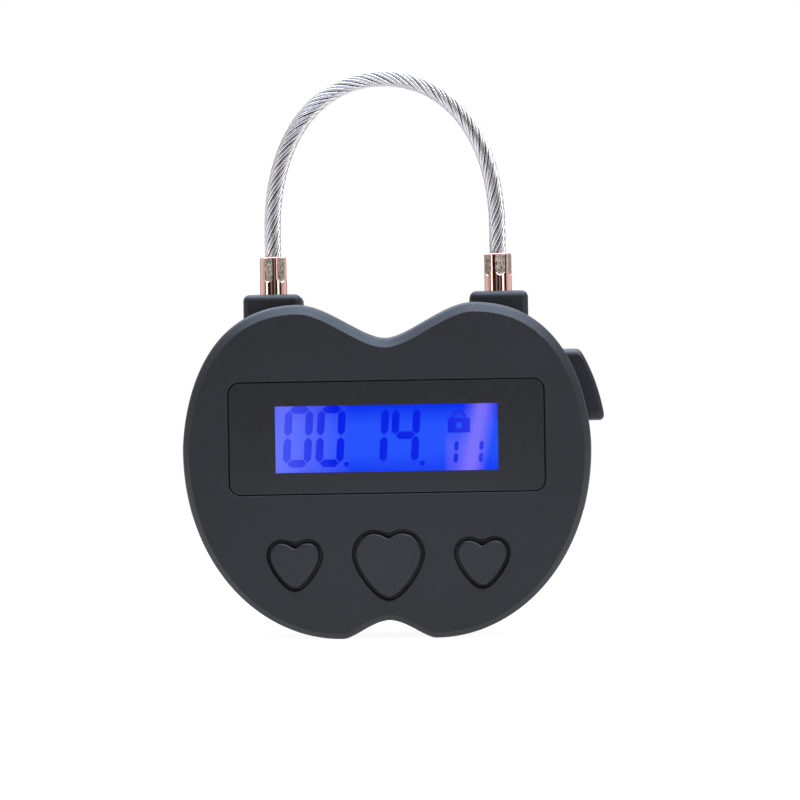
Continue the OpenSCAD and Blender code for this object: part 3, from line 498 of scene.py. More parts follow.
# ---- Stage and camera
class PADLOCK_OT_stage(bpy.types.Operator):
    """Makes the camera, the pale floor and the soft studio light"""
    bl_idname = "padlock.stage"
    bl_label = "Stage"

    CAMERA_X, CAMERA_Z = 0.0100, 0.0355
    AIM = (0.00242, -0.011, 0.04076)
    FLOOR_RADIUS, FLOOR_RINGS, FLOOR_SIDES = 0.68, 12, 96
    # Name, place, aim, size, power in watts and colour of each lamp
    LAMPS = [
        ("top_box", (0.02, 0.03, 0.50), (0, 0, 0.03), (0.7, 0.45), 8.5, (0.62, 0.77, 1.0)),
        ("front_box", (0.0, -0.40, 0.45), (0, 0, 0.03), (0.5, 0.3), 0.3, (0.86, 0.92, 1.0)),
        ("corner_box", (0.32, -0.30, 0.38), (0, 0, 0.03), (0.2, 0.2), 0.9, (0.92, 0.95, 1.0)),
        ("low_card", (0.0, -0.10, 0.004), (0, 0, 0.012), (0.06, 0.02), 0.010, (0.80, 0.78, 1.0)),
        ("left_strip", (-0.497, -0.336, 0.14), (0, 0, 0.06), (0.15, 0.5), 0.6, (1, 0.97, 0.9)),
        ("right_strip", (0.417, -0.432, 0.14), (0, 0, 0.06), (0.15, 0.5), 0.6, (1, 0.97, 0.9)),
        ("back_box", (0.0, 0.50, 0.50), (0, 0.25, 0), (0.9, 0.3), 2.0, (1, 1, 1)),
    ]
    # Light from each side of the room: angle from the front as a share of half a turn, then
    # its colour. Narrow cards stand just beside the camera, and the back of the room is white.
    CARD, DARK, WHITE = (0.34, 0.30, 0.33), (0.02, 0.02, 0.022), (1.0, 1.0, 1.02)
    ROOM = [
        (0.04, DARK), (0.055, CARD), (0.095, CARD), (0.12, DARK), (0.38, DARK),
        (0.46, (0.8, 0.83, 0.88)), (0.60, WHITE), (0.74, WHITE), (0.88, (0.34, 0.34, 0.36)),
    ]
    # Colour of the light from above, and the share of it at each height of the way there
    CEILING = (0.95, 1.0, 1.08, 1)
    CEILING_SHARE = [(0.42, (0, 0, 0)), (0.85, (1, 1, 1))]
    ROOM_STRENGTH = 0.8

    def execute(self, context):
        settings = context.scene.padlock_stage
        self.camera(context.scene, settings)
        self.paper(settings)
        self.lamps(settings)
        self.surroundings(context.scene, settings)
        context.scene.view_settings.view_transform = "Standard"
        return {"FINISHED"}

    def camera(self, scene, settings):
        lens = bpy.data.cameras.new("photo_camera")
        lens.lens = settings.focal_length
        lens.clip_start = 0.01
        camera = bpy.data.objects.new("photo_camera", lens)
        scene.collection.objects.link(camera)
        place = Vector((self.CAMERA_X, -settings.camera_distance, self.CAMERA_Z))
        line = Vector(self.AIM) - place
        camera.matrix_world = (
            Matrix.Translation(place) @ Matrix.Rotation(math.atan2(-line.x, line.y), 4, "Z")
            @ Matrix.Rotation(math.atan2(line.z, line.y), 4, "X")
            @ Matrix.Rotation(settings.roll, 4, "Y") @ Matrix.Rotation(math.pi / 2, 4, "X"))
        scene.camera = camera

    def paper(self, settings):
        """A round pale floor"""
        count = self.FLOOR_SIDES
        bm = bmesh.new()
        middle = bm.verts.new((0, 0, 0))
        rows = []
        for k in range(1, self.FLOOR_RINGS + 1):
            r = self.FLOOR_RADIUS * k / self.FLOOR_RINGS
            rows.append([bm.verts.new((r * math.cos(a), r * math.sin(a), 0))
                         for a in (2 * math.pi * i / count for i in range(count))])
        for i in range(count):
            bm.faces.new((middle, rows[0][i - 1], rows[0][i]))
            for low, high in zip(rows, rows[1:]):
                bm.faces.new((low[i - 1], high[i - 1], high[i], low[i]))
        floor = linked("floor", bm)
        made = Finish("studio_paper", Roughness=0.9, Emission_Strength=0.93)
        made.tint(made.noise(600, 4), settings.paper_colour, 0.008)
        made.shader.inputs["Emission Color"].default_value = (1, 1, 1, 1)
        made.bump(made.noise(1400, 3), 0.00003, 0.4)
        floor.data.materials.append(made.material)

    def lamps(self, settings):
        for name, place, aim, size, power, shade in self.LAMPS:
            light = bpy.data.lights.new(name, "AREA")
            light.shape = "RECTANGLE"
            light.size, light.size_y = size
            light.energy = power * settings.brightness
            light.color = shade
            lamp = bpy.data.objects.new(name, light)
            lamp.location = place
            lamp.rotation_euler = (Vector(aim) - Vector(place)).to_track_quat("-Z", "Y").to_euler()
            lamp.visible_camera = False
            bpy.context.scene.collection.objects.link(lamp)

    def surroundings(self, scene, settings):
        """A studio that is bright above, beside and behind the lock and dim in front of it"""
        world = bpy.data.worlds.new("studio")
        made = Graph(world)
        way = made.node("SeparateXYZ", {0: made.node("TexCoord").outputs["Generated"]}).outputs
        turn = made.math("ARCTAN2", way["X"], made.math("MULTIPLY", way["Y"], -1))
        share = made.math("DIVIDE", made.math("ABSOLUTE", turn), math.pi)
        above = made.ramp(way["Z"], self.CEILING_SHARE)
        light = made.node("Background", {
            "Color": made.mix(above, made.ramp(share, self.ROOM), self.CEILING),
            "Strength": self.ROOM_STRENGTH * settings.brightness})
        paper = made.node("Background", {"Color": (1, 1, 1, 1)})
        seen = made.node("LightPath").outputs["Is Camera Ray"]
        mixed = made.node("MixShader", {0: seen, 1: light.outputs[0], 2: paper.outputs[0]})
        made.node("OutputWorld", {"Surface": mixed.outputs[0]})
        scene.world = world


# ---- Shackle
# Route of the rope's centreline from the left ferrule to the right one, in metres
ROPE_Y = 0.0035
ROPE_LEG = (0.0198, 0.0611)
ROPE_BEND = (0.0198, 0.071)
ROPE_LEG_HANDLE = (0.0198, 0.088)
ROPE_TOP_HANDLE = (0.0111, 0.0977)
ROPE_TOP = (0.0, 0.0977)
ROPE_STEP = 0.0007
# Turn of each wire from its even place round the rope, in radians
WIRE_SHIFT = (0.0, 0.05, -0.03, 0.04, -0.05, 0.02, 0.05, -0.04, 0.01, -0.05, 0.04, -0.02)


def rope_route():
    """Points of the centreline at even steps"""
    half = [Vector(ROPE_TOP)]
    half += bezier(ROPE_TOP, ROPE_TOP_HANDLE, ROPE_LEG_HANDLE, ROPE_BEND, 200)[1:]
    half += bezier(ROPE_BEND, ROPE_BEND, ROPE_LEG, ROPE_LEG, 60) + [Vector(ROPE_LEG)]
    line = [Vector((-p.x, ROPE_Y, p.y)) for p in reversed(half)]
    line += [Vector((p.x, ROPE_Y, p.y)) for p in half[1:]]
    total = sum((b - a).length for a, b in zip(line, line[1:]))
    count = round(total / ROPE_STEP)
    even, gone, k = [], 0.0, 0
    for i in range(count + 1):
        wanted = total * i / count
        while k < len(line) - 2 and gone + (line[k + 1] - line[k]).length < wanted:
            gone += (line[k + 1] - line[k]).length
            k += 1
        span = line[k + 1] - line[k]
        even.append(line[k] + span * min(1, (wanted - gone) / span.length))
    return even, total


def add_tube(bm, line, r, sides):
    """A closed tube along a line that never runs along its depth only"""
    rows = []
    for i, p in enumerate(line):
        way = (line[min(i + 1, len(line) - 1)] - line[max(i - 1, 0)]).normalized()
        across = way.cross(Vector((0, 1, 0))).normalized()
        up = across.cross(way)
        rows.append([bm.verts.new(p + r * (math.cos(a) * across + math.sin(a) * up))
                     for a in (2 * math.pi * k / sides for k in range(sides))])
    skin(bm, rows)


class PADLOCK_OT_rope(bpy.types.Operator):
    """Makes the wire rope: twelve wires laid round a core whose colour is oil-darkened steel and
    painted shade for the gaps between the wires
    """
    bl_idname = "padlock.rope"
    bl_label = "Wire rope"

    # Radii of the core, of the ring of wires and of a wire, as shares of the rope's diameter
    CORE, RING, WIRE = 0.31, 0.39, 0.088
    CORE_SIDES, WIRE_SIDES = 24, 12
    # Share of the steel's colour that the core gets: oil on it, and painted shade that shows
    # through the gaps between the wires
    CORE_OIL_AND_SHADE = 0.15

    def execute(self, context):
        settings = context.scene.padlock_shackle
        d = settings.rope_diameter
        route, total = rope_route()
        bm = bmesh.new()
        add_tube(bm, route, self.CORE * d, self.CORE_SIDES)
        core = len(bm.faces)
        for w, shift in enumerate(WIRE_SHIFT):
            line = []
            for i, p in enumerate(route):
                way = (route[min(i + 1, len(route) - 1)] - route[max(i - 1, 0)]).normalized()
                side = way.cross(Vector((0, 1, 0)))
                laid = i * ROPE_STEP / settings.lay_length
                turn = 2 * math.pi * (w / len(WIRE_SHIFT) - laid) + shift
                out = math.cos(turn) * side + math.sin(turn) * Vector((0, 1, 0))
                line.append(p + self.RING * d * out)
            add_tube(bm, line, self.WIRE * d, self.WIRE_SIDES)
        bm.faces.ensure_lookup_table()
        for face in bm.faces[:core]:
            face.material_index = 1
        bmesh.ops.recalc_face_normals(bm, faces=bm.faces)
        rope = linked("wire_rope", bm)
        smooth(rope.data, 60)
        # The darker core material is oil-darkened steel and painted shade for the gaps between the
        # wires
        for name, share in (("rope_wire", 1.0), ("rope_core", self.CORE_OIL_AND_SHADE)):
            shade = [share * c for c in settings.steel_colour]
            rope.data.materials.append(self.steel(name, shade))
        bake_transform(rope)
        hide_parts("shackle_rope")
        return {"FINISHED"}

    def steel(self, name, shade):
        made = Finish(name, Metallic=1.0)
        made.tint(made.noise(900, 4), shade, 0.08)
        made.roughness(made.noise(1300, 3), 0.2, 0.28)
        made.bump(made.noise(2600, 2), 0.000002, 0.5)
        return made.material


class PADLOCK_OT_ferrules(bpy.types.Operator):
    """Makes the two crimped ferrules at the ends of the rope"""
    bl_idname = "padlock.ferrules"
    bl_label = "Ferrules"

    FLATS = 6
    RADIUS = 2.4
    FLAT = 2.25
    LOW, TOP = 57.5, 66.4
    # Lower end of the flats on each side, how much its ends rise, and the step's height
    CRIMP_LOW = {-1: 61.9, 1: 62.5}
    BOW, STEP = 0.5, 0.14
    # Bore for the rope, its lower end, the edge of its mouth and the middle of its floor
    BORE, BORE_LOW, LIP, FLOOR = 1.6, 61.0, 0.15, 0.4
    STEM_BORE, STEM_TOP = 1.21, 60.6
    TURN = {-1: math.radians(20), 1: math.radians(-9)}
    EDGE, LOW_EDGE = 0.3, 0.18

    def reach(self, side, a, z, edge):
        """Radius of the outside at an angle and height, edge being how far it is rounded in"""
        sector = 2 * math.pi / self.FLATS
        off = a % sector - sector / 2
        low = self.CRIMP_LOW[side] + self.BOW * (off / math.acos(self.FLAT / self.RADIUS)) ** 2
        deep = min(1, max(0, (z - low) / self.STEP))
        flat = self.RADIUS - (self.RADIUS - self.FLAT) * deep
        return min(self.RADIUS, flat / math.cos(off)) - edge

    def levels(self, side):
        """How far the outside is rounded in at each height, with close rows at the step"""
        rows = [(s, self.LOW + t) for s, t in quarter(self.LOW_EDGE, 4)]
        low = self.CRIMP_LOW[side]
        rows += [(0, low - 0.1)]
        rows += [(0, low + (self.BOW + self.STEP) * k / 20) for k in range(21)]
        rows += [(0, self.TOP - self.EDGE - 1.2)]
        return rows + [(s, self.TOP - t) for s, t in reversed(quarter(self.EDGE, 6))]

    def execute(self, context):
        settings = context.scene.padlock_shackle
        plated, crimped = self.finishes(settings)
        count = 20 * self.FLATS
        for side, name, body in ((-1, "fixed_ferrule", "housing"), (1, "free_ferrule", "free_end")):
            place = (side * LEG_X, SHACKLE_Y)
            levels = []
            for edge, z in self.levels(side):
                radii = [self.reach(side, 2 * math.pi * k / count + self.TURN[side], z, edge)
                         for k in range(count)]
                levels.append((ring(place, radii), z))
            inner = [(self.BORE + self.LIP, self.TOP), (self.BORE, self.TOP - self.LIP),
                     (self.BORE, self.BORE_LOW), (self.FLOOR, self.BORE_LOW)]
            levels += [(ring(place, [r] * count), z) for r, z in inner]
            piece = solid(levels, "Z")
            stem = rod(place, self.STEM_BORE, self.LOW - 1, self.STEM_TOP, "Z")
            combine(piece, [stem], "DIFFERENCE")
            piece.data.materials.clear()
            finished(piece, name + "_crimped", [plated, crimped], body, name,
                     sharp=14)
            self.mark_flats(piece.data, place, self.CRIMP_LOW[side] + self.STEP)
        return {"FINISHED"}

    def mark_flats(self, mesh, place, low):
        """Gives the second material to upright outer faces that lie in from the round"""
        for face in mesh.polygons:
            middle = face.center / MM - Vector((*place, 0))
            r = math.hypot(middle.x, middle.y)
            upright = abs(face.normal.z) < 0.05
            if upright and middle.z > low and self.BORE + 0.3 < r < self.RADIUS - 0.012:
                face.material_index = 1

    def finishes(self, settings):
        plated = Finish("plated_ferrule", Metallic=1.0)
        marks = plated.noise(2400, 4, 0.6, plated.stretched((1, 1, 0.04)))
        plated.tint(marks, settings.ferrule_colour, 0.06)
        plated.roughness(plated.noise(700, 3), 0.06, 0.12)
        plated.bump(marks, 0.000006, 0.6)
        crimped = Finish("crimped_ferrule", Metallic=1.0)
        pits = crimped.noise(3600, 3, 0.6, crimped.stretched((1, 1, 0.45)))
        crimped.tint(pits, settings.crimp_colour, 0.7, 0.35, 0.65)
        crimped.roughness(pits, 0.4, 0.6)
        crimped.bump(pits, 0.00025)
        return plated.material, crimped.material


# ---- Shells
def heart_half(width, height, notch, lobe, shoulder):
    """Right half of a heart as (point, outward) pairs, from the notch down to the tip"""
    w, top = width / 2, height / 2
    points = bezier((0, top - notch), (0.22 * lobe, top - 0.9 * notch), (0.45 * lobe, top),
                    (lobe, top), 14)
    points += bezier((lobe, top), (lobe + 0.55 * (w - lobe), top), (w, top - 0.45 * shoulder),
                     (w, top - shoulder), 16)
    points += bezier((w, top - shoulder), (w, top - shoulder - 0.3 * (height - shoulder)),
                     (0.18 * width, -top), (0, -top), 26)
    tip = Vector((0, -top))
    half = []
    for i, p in enumerate(points):
        before = points[i - 1] if i else Vector((-points[1].x, points[1].y))
        after = points[i + 1] if i + 1 < len(points) else tip
        way = (after - before).normalized()
        half.append((p, Vector((-way.y, way.x))))
    way = (tip - points[-1]).normalized()
    last = math.atan2(way.x, -way.y)
    for k in range(7):
        a = last + (-math.pi / 2 - last) * k / 6
        half.append((tip, Vector((math.cos(a), math.sin(a)))))
    return half


def soften_notch(side):
    """Rounds the notch of a half heart out to a distance from its middle line"""
    k = next(i for i, p in enumerate(side) if p.x >= NOTCH_REACH)
    slope = (side[k + 1].y - side[k].y) / (side[k + 1].x - side[k].x)
    for p in side[:k]:
        p.y = side[k].y - slope * (side[k].x**2 - p.x**2) / (2 * side[k].x)


def heart_loop(half, grow, place):
    """Loop round a heart that is grown by a distance, trimmed where its halves meet"""
    side = [p + grow * way for p, way in half]
    middle = len(side) // 2
    low = [k for k in range(middle) if side[k].x < -1e-9]
    if low:
        k = low[-1]
        a, b = side[k], side[k + 1]
        side[:k + 1] = [a.lerp(b, a.x / (a.x - b.x))] * (k + 1)
    high = [k for k in range(middle, len(side)) if side[k].x < -1e-9]
    if high:
        k = high[0]
        a, b = side[k - 1], side[k]
        side[k:] = [a.lerp(b, a.x / (a.x - b.x))] * (len(side) - k)
    side[0].x = side[-1].x = 0
    if grow > 0:
        soften_notch(side)
    return [p + Vector(place) for p in mirrored(side)]


def heart_cutter(half, place, gap, r):
    flare = [(gap + s, FRONT_Y + t) for s, t in quarter(r)]
    levels = [(gap + r, FRONT_Y - 1)] + flare + [(gap, FACE_IN_Y + 1)]
    return solid([(heart_loop(half, grow, place), y) for grow, y in levels])


def shell_finish(settings):
    return moulded("moulded_shell", settings.shell_colour, settings.grain, 0.00003, 0.5)


def jack_cutter():
    return rod(JACK_PLACE, JACK_HOLE_R, -BEYOND, JACK_FACE_X, "X")


def posts(rows, wall):
    return [rod(p, r, *sorted((end, wall)), steps=steps)
            for places, r, end, steps in rows for p in places]


def holes(rows):
    return [rod(p, r, low, high, steps=steps)
            for places, r, low, high, steps in rows for p in places]


class PADLOCK_OT_front_shell(bpy.types.Operator):
    """Makes the front shell with its rounded rim, lens seat and button openings"""
    bl_idname = "padlock.front_shell"
    bl_label = "Front shell"

    def execute(self, context):
        settings = context.scene.padlock_body
        outline = mirrored(body_half())
        seam = settings.seam_round / MM
        lip_in, lip_y = 0.8, SPLIT_Y - 1.3
        levels = [(inset(outline, by, rim_share), y) for by, y in self.rim(settings)]
        steps = [(s, SPLIT_Y - t) for s, t in reversed(quarter(seam, 4))]
        steps += [(lip_in, SPLIT_Y), (lip_in, lip_y), (WALL, lip_y), (WALL, FACE_IN_Y)]
        shell = solid(levels + [(inset(outline, by), y) for by, y in steps])
        combine(shell, posts(FRONT_POSTS, FACE_IN_Y - SINK), "UNION")
        combine(shell, self.cutters(context), "DIFFERENCE")
        finished(shell, "front_shell_moulding", [shell_finish(settings)], "housing",
                 "front_shell", sharp=20)
        return {"FINISHED"}

    def rim(self, settings):
        """Levels of the rim: a soft crease, a flat bevel and a rounded outer edge"""
        width, edge = settings.rim_width / MM, settings.rim_round / MM
        depth = settings.rim_depth / MM
        slope = math.atan2(depth, width - edge)
        crease = 0.12
        levels = [(width + crease, 0), (width, 0.25 * crease * math.tan(slope)),
                  (width - crease, 1.1 * crease * math.tan(slope))]
        arc = quarter(edge, 10, slope)
        return [(s, FRONT_Y + t) for s, t in levels] + [(s, FRONT_Y + depth + t) for s, t in arc]

    def cutters(self, context):
        r = context.scene.padlock_body.opening_round / MM
        gap = context.scene.padlock_buttons.gap / MM
        lens_r = 0.55 * r
        seat = [(lens_r, FRONT_Y - 1)] + [(s, FRONT_Y + t) for s, t in quarter(lens_r)]
        seat += [(0, LENS_BACK_Y)]
        cuts = [solid([(grown_box(LENS_PLACE, LENS_SIZE, LENS_CORNER, LENS_GAP + by), y)
                       for by, y in seat])]
        room = rounded_box(WINDOW_PLACE, *DISPLAY_ROOM, 0.2, 3)
        cuts += [slab(room, LENS_BACK_Y - 0.5, FACE_IN_Y + 1)]
        for place, shape in HEARTS.values():
            cuts += [heart_cutter(heart_half(*shape), place, gap, r)]
        return cuts + holes(FRONT_HOLES) + [jack_cutter()]


class PADLOCK_OT_rear_shell(bpy.types.Operator):
    """Makes the rear shell with the two shackle bosses and its screw wells"""
    bl_idname = "padlock.rear_shell"
    bl_label = "Rear shell"

    def execute(self, context):
        settings = context.scene.padlock_body
        outline = mirrored(body_half())
        seam = settings.seam_round / MM
        lip_in, lip_y = 0.9, SPLIT_Y - 1.2
        steps = [(s, BACK_Y - t) for s, t in quarter(settings.back_round / MM, 14)]
        steps += [(s, SPLIT_Y + t) for s, t in reversed(quarter(seam, 4))]
        steps += [(lip_in, SPLIT_Y), (lip_in, lip_y), (WALL, lip_y), (WALL, BACK_IN_Y)]
        shell = solid([(inset(outline, by), y) for by, y in steps])
        combine(shell, self.bosses(settings) + self.supports(), "UNION")
        combine(shell, self.cutters(), "DIFFERENCE")
        finished(shell, "rear_shell_moulding", [shell_finish(settings)], "housing",
                 "rear_shell")
        return {"FINISHED"}

    def bosses(self, settings):
        r = settings.boss_round / MM
        made = []
        for side in (-1, 1):
            levels = [(0, BOSS_LOW)] + [(s, BOSS_TOP - t) for s, t in reversed(quarter(r, 10))]
            made.append(solid([(grown_box((side * LEG_X, SHACKLE_Y), BOSS_SIZE, r + 0.02, -s), z)
                               for s, z in levels], "Z"))
        return made

    def supports(self):
        """Posts, and the rib round the battery"""
        back = BACK_IN_Y + SINK
        rib = slab(grown_box(BATTERY_PLACE, BATTERY_ROOM, 0.3, BATTERY_RIB), 6.6, back)
        combine(rib, [slab(rounded_box(BATTERY_PLACE, *BATTERY_ROOM, 0.3), 5, 10)], "DIFFERENCE")
        return posts(REAR_POSTS, back) + [rib]

    def cutters(self):
        cuts = []
        edge = 0.2
        for side in (-1, 1):
            place = (side * LEG_X, SHACKLE_Y)
            r = FERRULE_HOLE_R
            cuts += [turned(place, [
                (PIN_HOLE_R, BOSS_LOW - 1), (PIN_HOLE_R, FERRULE_SEAT), (r, FERRULE_SEAT),
                (r, BOSS_TOP - edge), (r + edge, BOSS_TOP), (r + edge, BOSS_TOP + 1)], "Z")]
        edge, bore, well = 0.3, SCREW_BORE_R, SCREW_WELL_R
        for p in CASE_PLACES:
            cuts += [turned(p, [
                (bore, SPLIT_Y - 2.2), (bore, SCREW_SEAT_Y), (well, SCREW_SEAT_Y),
                (well, BACK_Y - edge), (well + edge, BACK_Y), (well + edge, BACK_Y + 1)])]
        cuts += holes(REAR_HOLES)
        size = (POWER_Y[1] - POWER_Y[0], POWER_Z[1] - POWER_Z[0])
        tunnel = grown_box((SHACKLE_Y, sum(POWER_Z) / 2), size, POWER_CORNER, POWER_GAP)
        return cuts + [slab(tunnel, POWER_IN_X - 1.1, BEYOND, "X"), jack_cutter()]


# ---- Display
class PADLOCK_OT_display(bpy.types.Operator):
    """Makes the clear lens and lights the display behind it"""
    bl_idname = "padlock.display"
    bl_label = "Display"

    # Strength of the pale slanting band across its width
    BAND = [(0.0, 0), (0.22, 0.35), (0.42, 0.9), (0.60, 0.9), (0.84, 0.3), (1.0, 0)]

    def execute(self, context):
        settings = context.scene.padlock_display
        edge = settings.lens_edge / MM
        low, high = -10.9, -9.9
        steps = [(s, low + t) for s, t in quarter(edge, 6)] + [(0, high - 0.05), (0.05, high)]
        lens = solid([(rounded_box(WINDOW_PLACE, *WINDOW_SIZE, 0.1), low)] + [
            (grown_box(LENS_PLACE, LENS_SIZE, LENS_CORNER, -s), y) for s, y in steps])
        border = self.print()
        finished(lens, "clear_lens", [self.clear(), border], "housing", "display_lens")
        for face in lens.data.polygons:
            face.material_index = int(len(face.vertices) == 4)
        dress("lens_mask", border)
        dress("lcd_glass", self.field(settings))
        dress("lcd_segments", self.ink(settings))
        dress("lcd_backlight", self.light_guide(settings))
        dress("lcd_connector", self.strip())
        return {"FINISHED"}

    def clear(self):
        made = Finish("clear_acrylic", Transmission_Weight=1.0, IOR=1.49)
        made.shader.inputs["Base Color"].default_value = (0.96, 0.97, 1, 1)
        made.roughness(made.noise(160, 3), 0.02, 0.06)
        made.bump(made.noise(60, 2), 0.00001, 0.3)
        through = made.node("BsdfTransparent").outputs[0]
        lamp = made.node("LightPath").outputs["Is Shadow Ray"]
        mix = made.node("MixShader", {0: lamp, 1: made.shader.outputs[0], 2: through})
        made.link(mix.outputs[0], made.out.inputs["Surface"])
        return made.material

    def print(self):
        made = Finish("screen_print", IOR=1.4)
        made.tint(made.noise(2500, 3), (0.009, 0.009, 0.0105), 0.05)
        made.roughness(made.noise(900, 3), 0.3, 0.4)
        made.bump(made.noise(4000, 2), 0.000005)
        return made.material

    def field(self, settings):
        """Lit liquid-crystal glass: deep blue, with paler clouds near the lamps at its ends"""
        made = Finish("lit_glass", Roughness=0.08, Specular_IOR_Level=0.1,
                      Emission_Strength=settings.brightness)
        way = made.node("SeparateXYZ", {0: made.place}).outputs
        x, z = way["X"], way["Z"]
        slant = made.math("MULTIPLY_ADD", z, -0.21, x)
        cloud = made.noise(85, 2, 0.5)
        middle = made.math("MULTIPLY", made.span(z, 0, 1, 0.0397, 0.0365),
                           made.span(z, 0.35, 1, 0.0288, 0.0318))
        core = made.ramp(middle, [(0, settings.edge_colour), (1, settings.field_colour)])
        left = made.math("MULTIPLY", made.span(x, 1, 0, -0.0182, -0.0062), made.span(cloud, 0.6, 1))
        band = made.ramp(made.span(slant, 0, 1, 0.0050, 0.0110), [
            (spot, (grey, grey, grey)) for spot, grey in self.BAND])
        edge = made.span(x, 0, 0.3, 0.0098, 0.0106)
        low = made.span(z, 1, 0, 0.0330, 0.0365)
        veil = made.math("MULTIPLY", made.math("MULTIPLY", edge, low),
                         made.span(slant, 1, 0, 0.0085, 0.0105))
        right = (*settings.right_colour, 1)
        glow = made.mix(left, core, (*settings.left_colour, 1))
        glow = made.mix(band, made.mix(veil, glow, right), right)
        made.drive("Emission Color", glow)
        made.tint(cloud, (0.004, 0.008, 0.06), 0.1)
        made.bump(made.noise(3000, 2), 0.000003)
        return made.material

    def ink(self, settings):
        """Digits that look fainter towards both ends, where the glass is seen more aslant"""
        made = Finish("digit_ink", Roughness=0.1, Specular_IOR_Level=0.1,
                      Emission_Strength=settings.brightness)
        x = made.node("SeparateXYZ", {0: made.place}).outputs["X"]
        cloud = made.noise(500, 3)
        ends = made.math("ADD", made.span(x, 0.42, 0, -0.0185, -0.0092),
                         made.span(x, 0, 0.2, 0.0095, 0.0165))
        faint = made.math("MULTIPLY", ends, made.span(cloud, 0.95, 1.05))
        glow = made.mix(faint, (*settings.ink_colour, 1), (*settings.left_colour, 1))
        made.drive("Emission Color", glow)
        made.tint(cloud, (0.002, 0.005, 0.05), 0.2)
        return made.material

    def light_guide(self, settings):
        made = Finish("light_guide", Roughness=0.4, Emission_Strength=0.6 * settings.brightness)
        dots = made.cells(1600)
        glow = made.ramp(dots, [(0.2, (0.25, 0.35, 1.0)), (0.6, (0.08, 0.14, 0.9))])
        made.drive("Emission Color", glow)
        made.tint(dots, (0.6, 0.65, 0.8), 0.05)
        made.bump(dots, 0.00003)
        return made.material

    def strip(self):
        """Striped rubber strip: carbon layers between clear ones"""
        made = Finish("contact_strip", Roughness=0.6)
        wave = made.node("TexWave", {"Vector": made.place, "Scale": 900, "Distortion": 0.4},
                         bands_direction="X").outputs["Fac"]
        made.drive("Base Color", made.ramp(
            wave, [(0.45, (0.02, 0.02, 0.02)), (0.55, (0.62, 0.30, 0.34))]))
        made.bump(wave, 0.00001)
        return made.material


# ---- Buttons
def button_finish(settings):
    return moulded("moulded_button", settings.button_colour, 0.00016, 0.00002, 0.42)


class PADLOCK_OT_hearts(bpy.types.Operator):
    """Makes the three heart buttons, each with its flange and post"""
    bl_idname = "padlock.hearts"
    bl_label = "Heart buttons"

    # Reach, thickness and edge of the flange behind the face, then the post on its back
    FLANGE, THICK, EDGE = 1, 0.6, 0.08
    POST_R, POST_END, POST_EDGE = 1.5, -7.65, 0.1

    def execute(self, context):
        settings = context.scene.padlock_buttons
        for name, (place, shape) in HEARTS.items():
            half = heart_half(*shape)
            face = FRONT_Y - CAP_PROUD
            steps = [(-s, face + t) for s, t in quarter(settings.cap_round / MM, 10)]
            steps += [(0, FACE_IN_Y + 0.35)]
            cap = solid([(heart_loop(half, grow, place), y) for grow, y in steps])
            low, edge = FACE_IN_Y + 0.05, self.EDGE
            high = low + self.THICK
            flange = solid([(heart_loop(half, grow, place), y) for grow, y in (
                (self.FLANGE - edge, low), (self.FLANGE, low + edge),
                (self.FLANGE, high - edge), (self.FLANGE - edge, high))])
            post = turned(place, [
                (self.POST_R, low + 0.45), (self.POST_R, self.POST_END - self.POST_EDGE),
                (self.POST_R - self.POST_EDGE, self.POST_END)], steps=40)
            combine(cap, [flange, post], "UNION")
            finished(cap, name.replace("button", "heart"), [button_finish(settings)], name,
                     name)
        return {"FINISHED"}


